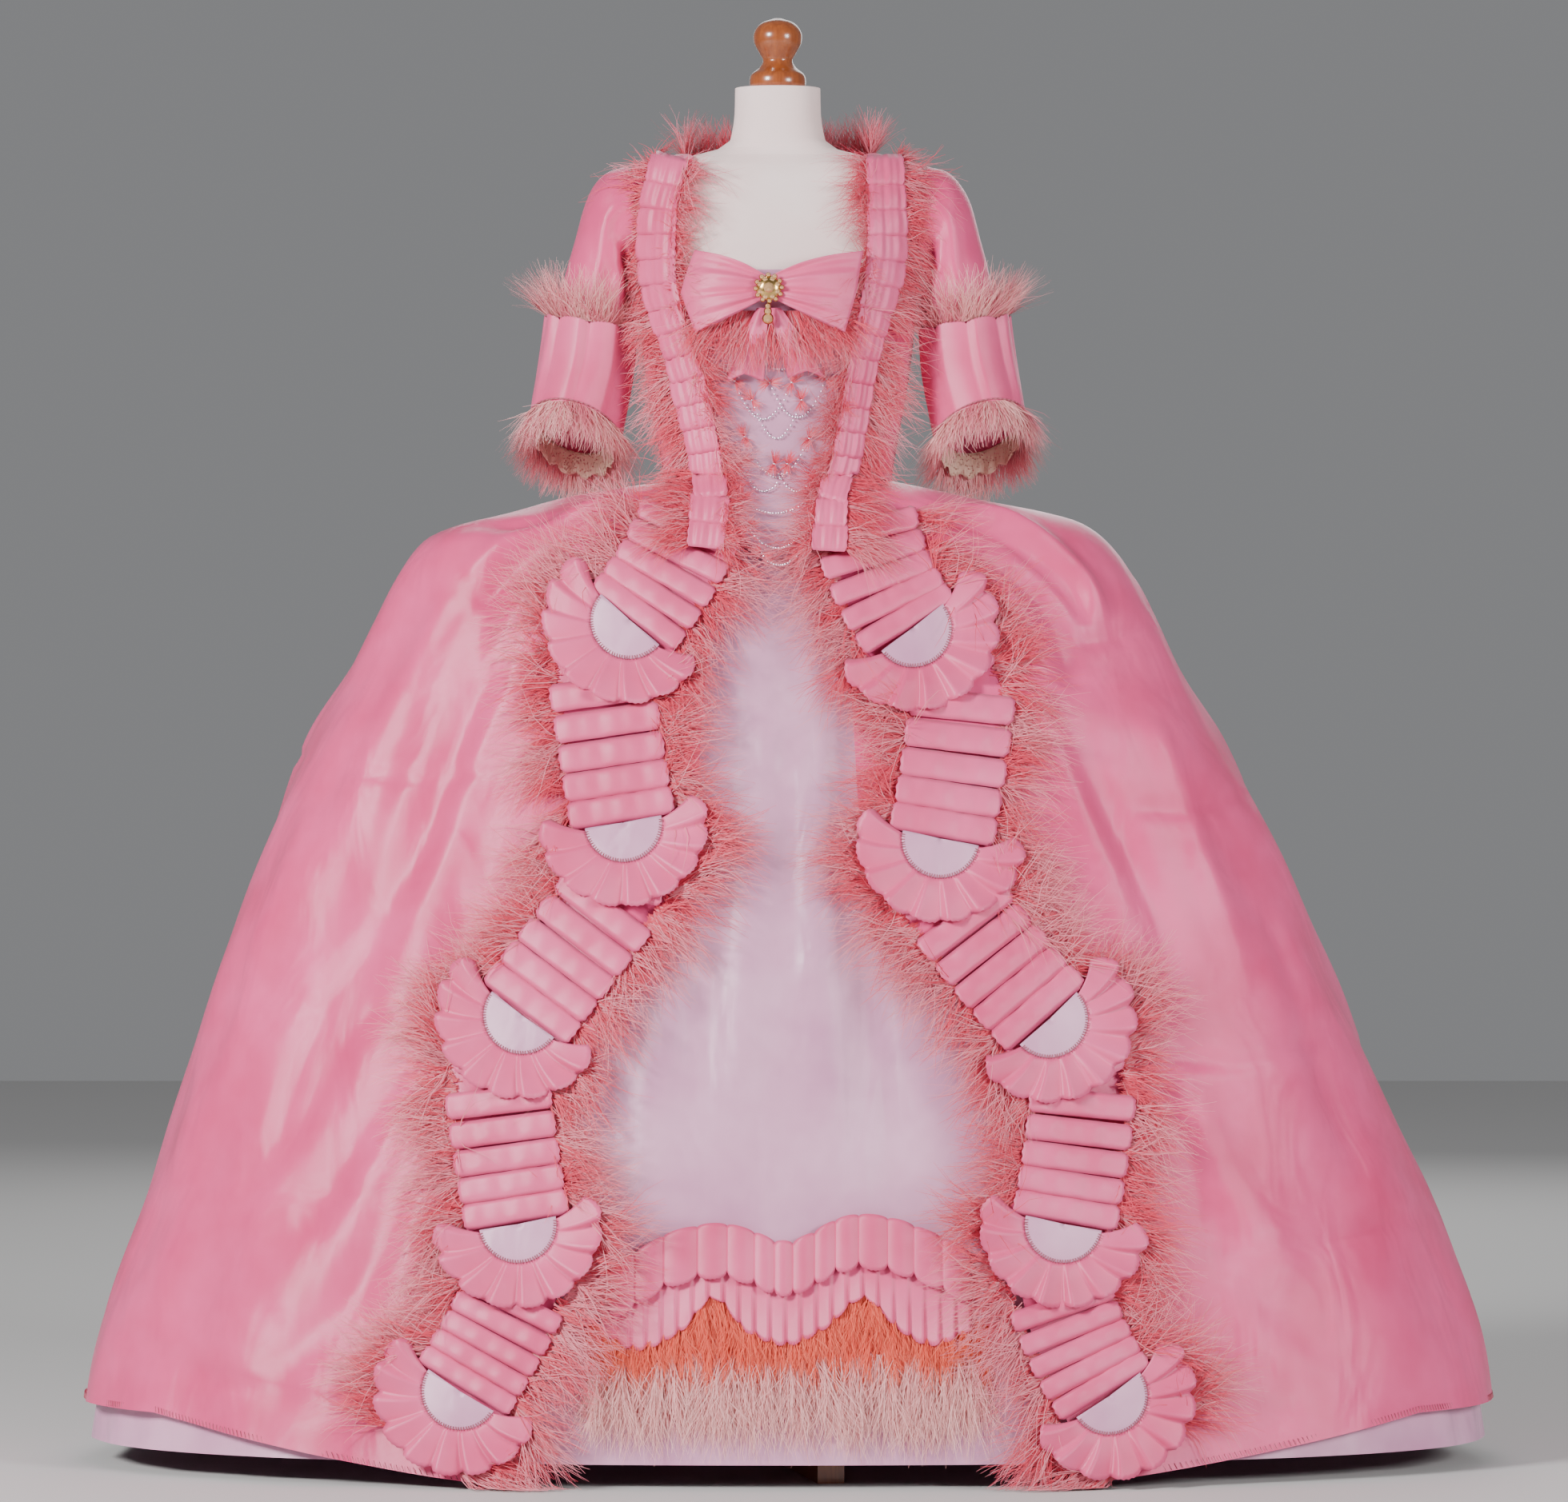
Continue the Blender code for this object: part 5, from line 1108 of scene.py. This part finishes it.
def build_hem():
    tabs = []
    for (a, d), (b, e) in zip(HEM_TABS, HEM_TABS[1:]):
        grid = []
        for r in range(12):
            v = r / 11
            row = []
            for c in range(15):
                u = c / 14
                bell = math.sqrt(max(1 - abs(2 * u - 1) ** 2.4, 0.0))
                low = 54 + 12 * bell - (1.2 if c % 2 else 0)
                high = -5 * bell
                x = a + (b - a) * (u * 1.06 - 0.02)
                y = d + (e - d) * u + high + (low - high) * v
                dome = math.sin(math.pi * (0.1 + 0.85 * u)) ** 0.7
                row.append(PETTICOAT_BODY.seen(x, y, 0.0054 + 0.0056 * dome + 0.0010 * v))
            grid.append(row)
        tabs.append(grid)
    patches("hem_tabs", tabs, [TRIM], ["petticoat_tabs"])
    top = Curve([r[0] for r in RUFFLE], [r[1] for r in RUFFLE])
    low = Curve([r[0] for r in RUFFLE], [r[2] for r in RUFFLE])
    grid = []
    for r in range(12):
        v = r / 11
        row = []
        for i in range(289):
            share = i / 288
            across = RUFFLE[0][0] + (RUFFLE[-1][0] - RUFFLE[0][0]) * share
            fold = pleat_fold(share, RUFFLE_PLEATS)
            lobe = abs(math.sin(math.pi * RUFFLE_PLEATS * share)) ** 0.6
            start = top(across) + 6
            end = low(across) - 6 + 7 * lobe - (1.3 if i % 2 else 0)
            row.append(PETTICOAT_BODY.seen(across, start + (end - start) * v,
                                           0.0032 + 0.0055 * fold * v ** 0.8 + 0.001 * v))
        grid.append(row)
    patches("hem_ruffle", [grid], [TRIM], ["petticoat_ruffle"])
    wild = np.random.default_rng(80)
    parts = []
    for upper, lower, count, short, long, kind in HEM_FEATHERS:
        across = wild.uniform(735, 1232, count)
        down = wild.uniform(upper, lower, count)
        down = np.maximum(down, np.interp(across, [r[0] for r in RUFFLE], [r[2] for r in RUFFLE]) - 12)
        knots = np.linspace(730, 1240, 24)
        table = np.array([[PETTICOAT_BODY.seen(x, d, 0.0022) for x in knots]
                          for d in np.linspace(upper, lower, 3)])
        fx = (across - 730) / 510 * 23
        fd = (down - upper) / (lower - upper) * 2
        ix, jd = np.minimum(fx.astype(int), 22), np.minimum(fd.astype(int), 1)
        tx, td = (fx - ix)[:, None], (fd - jd)[:, None]
        place = ((table[jd, ix] * (1 - tx) + table[jd, ix + 1] * tx) * (1 - td)
                 + (table[jd + 1, ix] * (1 - tx) + table[jd + 1, ix + 1] * tx) * td)
        lean = wild.normal(size=(400, 3)) * 0.17
        way = np.array([0.0, -0.14, -1.0]) + lean[(across / 5).astype(int)]
        way = way + wild.normal(size=(count, 3)) * 0.15
        parts.append((place, way, np.tile(FORWARD, (count, 1)), wild.uniform(short, long, count),
                      np.full(count, kind)))
    barbs("hem_feathers", joined(parts), [ORANGE, BLUSH], ["petticoat_fringe"], width=0.0010,
          droop=0.3, curl=0.45, seed=81, steps=3, lowest=0.004)


# Cuff, neck and bow feathers, bow, brooch and stomacher

def build_cuff_feathers(side, mirror):
    wild = np.random.default_rng(90)
    for place, row, drop, rise, spread, droop, sizes, count in (
            ("top", CUFF[0], -0.002, 1, 0.55, 0.25, (0.035, 0.070), 1500),
            ("hem", CUFF[-1], -0.004, -1, 0.42, 0.4, (0.030, 0.055), 2800)):
        ring = np.array(limb_ring(row, mirror, 60, grow=-0.002, drop=drop))
        out = (ring - ring.mean(axis=0)) * np.array([1, 1, 0])
        out /= np.linalg.norm(out, axis=1, keepdims=True)
        rows = [(p, o * spread + np.array([0, 0, rise]), o) for p, o in zip([*ring, ring[0]], [*out, out[0]])]
        root, way, up, which = plumes(rows, count, 0.24, wild, 10, 0.9)
        size = wild.uniform(*sizes, len(root))
        if place == "top":
            size *= np.where(up[:, 0] * mirror < -0.5, 0.6, 1.0)
        barbs(f"cuff_{place}_feathers_{side}", (root, way, up, size, mixed(which, 0.4, wild)), [BLUSH, DUSTY],
              [f"cuff_{place}_fringe_{side}"], width=0.0009, droop=droop, curl=0.5, seed=91)
    cord = ring + out * 0.003
    sew(f"cuff_cord_{side}", list(zip(cord, np.roll(cord, -1, axis=0))), THREAD, 0.0009)


def build_neck_and_bow():
    wild = np.random.default_rng(100)
    neck, under_bow = [], []
    for i in range(24):
        turn = 200 + 140 * i / 23
        edge = 1.436 + 0.017 * (1 - (90 - abs(turn - 270)) / 90) + 0.004
        up = BODICE_BODY.normal(edge, turn)
        neck.append((BODICE_BODY.point(edge, turn),
                     up * np.array([0.5, 0.5, 0.0]) + np.array([0, 0, 1.0]), up))
    for i in range(12):
        across = 885 + (1045 - 885) * i / 11
        under_bow.append((BODICE_BODY.seen(across, 388, 0.0015), np.array([(i - 5.5) * 0.08, -0.12, -1.0]),
                          np.array(FORWARD)))
    for place, rows, count, spread, stand, short, long, dusty, droop, seed in (
            ("neck", neck, 2000, 0.28, 0.8, 0.03, 0.062, 0.5, 0.35, 101),
            ("bow", under_bow, 1600, 0.22, 0.28, 0.035, 0.075, 0.4, 0.3, 102)):
        root, way, up, which = plumes(rows, count, spread, wild, 12, stand)
        length = wild.uniform(short, long, len(root))
        barbs(f"{place}_feathers", (root, way, up, length, mixed(which, dusty, wild)), [CORAL, DUSTY],
              [f"{place}_fringe"], width=0.0009, droop=droop, curl=0.5, seed=seed)
    knot = np.array(BOW_KNOT, float)
    for side, corners in BOW_WINGS.items():
        high, mid, low = (np.array(c, float) for c in corners)
        sign = -1 if side == "left" else 1
        spots = []
        for v in range(41):
            share = v / 40
            outer = high + (mid - high) * share * 2 if share <= 0.5 else mid + (low - mid) * (share * 2 - 1)
            near = knot + np.array([sign * 2, (share - 0.5) * 22])
            row = []
            for k in range(44):
                f = k / 44
                front = f < 0.55
                t = f / 0.52 if f < 0.52 else 1 - (f - 0.55) / 0.45 if f > 0.55 else 1.0
                t = min(max(t, 0.0), 1.0)
                belly = math.sin(math.pi * min(t * 0.9, 1.0))
                height = 0.0090 + 0.0075 * belly if front else 0.0045 - 0.0005 * belly
                gathers = 0.0034 * math.cos(share * 5.4 * math.pi + 0.6) + 0.0016 * math.cos(share * 13 * math.pi)
                ripple = gathers * (min(t * 3.0, 1.0) * (1 - t) ** 0.7)
                place = near + (outer - near) * t
                row.append(BODICE_BODY.seen(*place, BOW_LIFT - 0.010 + height + (ripple if front else 0)))
            spots.append(row)
        cloth(f"bow_wing_{side}", spots, [TRIM], [f"bow_{side}"], closed=True,
              thick=0.0006)
    for side, end in BOW_TAILS.items():
        end = np.array(end, float)
        start = knot + np.array([-8 if side == "left" else 9, 24])
        grid = []
        for r in range(24):
            t = r / 23
            half = 6 + 17 * t ** 0.8
            place = start + (end - start) * t
            row = []
            for c in range(13):
                u = c / 6 - 1
                notch = -10 * (1 - abs(u)) * max(0.0, (t - 0.8) / 0.2)
                lift = 0.0088 + 0.0022 * math.cos(u * 3.0 + 0.5) + 0.001 * math.sin(t * 5)
                row.append(BODICE_BODY.seen(place[0] + half * u, place[1] + notch, lift))
            grid.append(row)
        cloth(f"bow_ribbon_{side}", grid, [TRIM], [f"bow_tail_{side}"],
              thick=0.0006)
    build_brooch(knot)
    build_stomacher_trims(wild)


def ball(middle, radius, rings, sides, flat):
    """Small round stone as points and faces."""
    points = [(middle[0] + radius * math.sin(a) * math.cos(b), middle[1] - radius * flat * math.cos(a),
               middle[2] + radius * math.sin(a) * math.sin(b))
              for a in np.linspace(0.12, math.pi - 0.12, rings)
              for b in np.linspace(0, 2 * math.pi, sides, endpoint=False)]
    faces = grid_faces(rings, sides, True)
    faces += [tuple(range(sides)), tuple((rings - 1) * sides + c for c in reversed(range(sides)))]
    return points, faces


def join(parts):
    points, faces = [], []
    for some, more in parts:
        faces += [tuple(i + len(points) for i in face) for face in more]
        points += list(some)
    return points, faces


def build_brooch(knot):
    middle = BODICE_BODY.seen(*knot) + np.array([0.0, -0.0255, 0.0])
    gilt, stones = [], []
    gilt.append(ball(middle + np.array([0, 0.004, 0]), 0.0135, 8, 20, 0.45))
    stones.append(ball(middle + np.array([0, -0.002, 0]), 0.0062, 6, 8, 0.7))
    for ring, count, size in ((0.0100, 8, 0.0034), (0.0142, 12, 0.0024)):
        for i in range(count):
            angle = 2 * math.pi * i / count + ring * 40
            spot = middle + np.array([ring * math.cos(angle), 0.0015, ring * math.sin(angle)])
            stones.append(ball(spot, size, 5, 6, 0.8))
            gilt.append(ball(spot + np.array([0, 0.0016, 0]), size * 1.3, 5, 10, 0.4))
    for drop, size in ((0.0200, 0.0028), (0.0255, 0.0036), (0.0335, 0.0052)):
        spot = middle + np.array([-0.001, 0.002, -drop])
        stones.append(ball(spot, size, 6, 8, 0.7))
        gilt.append(ball(spot + np.array([0, 0.002, 0]), size * 1.25, 5, 12, 0.4))
    points, faces = join(gilt)
    add("brooch_setting", points, faces, [GOLD], ["brooch"])
    points, faces = join(stones)
    add("brooch_stones", points, faces, [CRYSTAL], smooth=False)


# Garlands on the stomacher: px across and down of the start, px down of the lowest point, px of the end.
GARLANDS = [
    (938, 428, 462, 1012, 430), (918, 476, 524, 990, 478), (940, 500, 548, 1002, 500),
    (962, 478, 522, 1034, 474), (930, 546, 596, 1012, 548), (925, 578, 612, 985, 580), (968, 580, 612, 1028, 574),
    (926, 622, 640, 1012, 622), (934, 656, 684, 1010, 656), (952, 690, 706, 998, 690),
]


def build_stomacher_trims(wild):
    discs, tufts = [], []
    for x0, y0, y1, x2, y2 in GARLANDS:
        steps = int(abs(x2 - x0) / 4.2) + 5
        for i in range(steps + 1):
            t = i / steps
            x = x0 + (x2 - x0) * t
            y = y0 + (y2 - y0) * t + (y1 - (y0 + y2) / 2) * 4 * t * (1 - t)
            spot = BODICE_BODY.seen(x + wild.uniform(-0.8, 0.8), y, -0.0028)
            discs.append(ball(spot, 0.0014, 3, 6, 0.35))
        tufts += [(x0, y0), (x2, y2)]
    points, faces = join(discs)
    add("sequins", points, faces, [SEQUIN], smooth=False)
    roots, ways, lengths = [], [], []
    for x, y in tufts:
        base = BODICE_BODY.seen(x, y, -0.0030)
        lean = wild.uniform(0, 6.28)
        for _ in range(64):
            angle = lean + wild.normal() * 0.45 + (math.pi if wild.random() < 0.5 else 0)
            roots.append(base)
            ways.append((math.cos(angle), -0.45, math.sin(angle)))
            lengths.append(wild.uniform(0.010, 0.019))
    picks = (wild.random(len(roots)) < 0.25).astype(int)
    barbs("stomacher_tufts", (roots, ways, np.tile(FORWARD, (len(roots), 1)), lengths, picks), [CORAL, DUSTY],
          (), width=0.0011, droop=0.1, curl=0.3, seed=110, steps=3)


def build_hem_stitches():
    """Whipped stitches along the robe's hem, from each front corner round to the back."""
    for side in ("left", "right"):
        pairs = []
        turns = np.linspace(111, 262, 280) if side == "left" else np.linspace(67, -82, 280)
        for turn in turns:
            turn = float(turn)
            low = hem_height(turn)
            pairs.append((SKIRT_BODY.point(low + 0.001, turn, 0.0006),
                          SKIRT_BODY.point(low + 0.007, turn + 0.25, 0.0006)))
        sew(f"hem_stitches_{side}", pairs, THREAD, 0.0004)


def build_stage():
    mesh = bpy.data.meshes.new("floor")
    mesh.from_pydata([(-9, -9, 0), (9, -9, 0), (9, 9, 0), (-9, 9, 0)], [], [(0, 1, 2, 3)])
    look = Look("floor_paint", roughness=0.8)
    specks = look.node("TexNoise", Scale=3.0, Detail=4.0)
    look.tones(specks.outputs["Fac"], (0.62, 0.61, 0.60), (0.68, 0.67, 0.66))
    mesh.materials.append(look.made)
    put("floor", mesh)
    world = bpy.data.worlds.new("studio")
    bpy.context.scene.world = world
    world.use_nodes = True
    world.node_tree.nodes["Background"].inputs["Color"].default_value = (0.93, 0.94, 0.97, 1)
    world.node_tree.nodes["Background"].inputs["Strength"].default_value = 0.24
    for name, place, power, size in LIGHTS:
        lamp = bpy.data.lights.new(name, "AREA")
        lamp.energy = power
        lamp.size = size
        light = put(name, lamp)
        light.location = place
        way = np.array(LIGHT_AIM, float) - np.array(place)
        tilt = math.acos(-way[2] / np.linalg.norm(way))
        light.rotation_euler = (tilt, 0, math.atan2(way[1], way[0]) - math.pi / 2)
    lens = bpy.data.cameras.new("view")
    lens.lens = LENS_MM
    lens.sensor_width = 36.0
    lens.clip_end = 60
    camera = put("view", lens)
    camera.location = (SHIFT[0] + 0.007, SHIFT[1] - EYE_DISTANCE, EYE_HEIGHT)
    camera.rotation_euler = (math.radians(90), 0, 0)
    bpy.context.scene.camera = camera


build_form()
build_robe()
build_petticoat()
build_sack()
build_bodice()
build_sleeves()
for side, mirror in (("left", -1), ("right", 1)):
    build_skirt_trims(side)
    build_bodice_trims(side)
    build_cuff_feathers(side, mirror)
build_hem()
build_neck_and_bow()
build_hem_stitches()
build_stage()
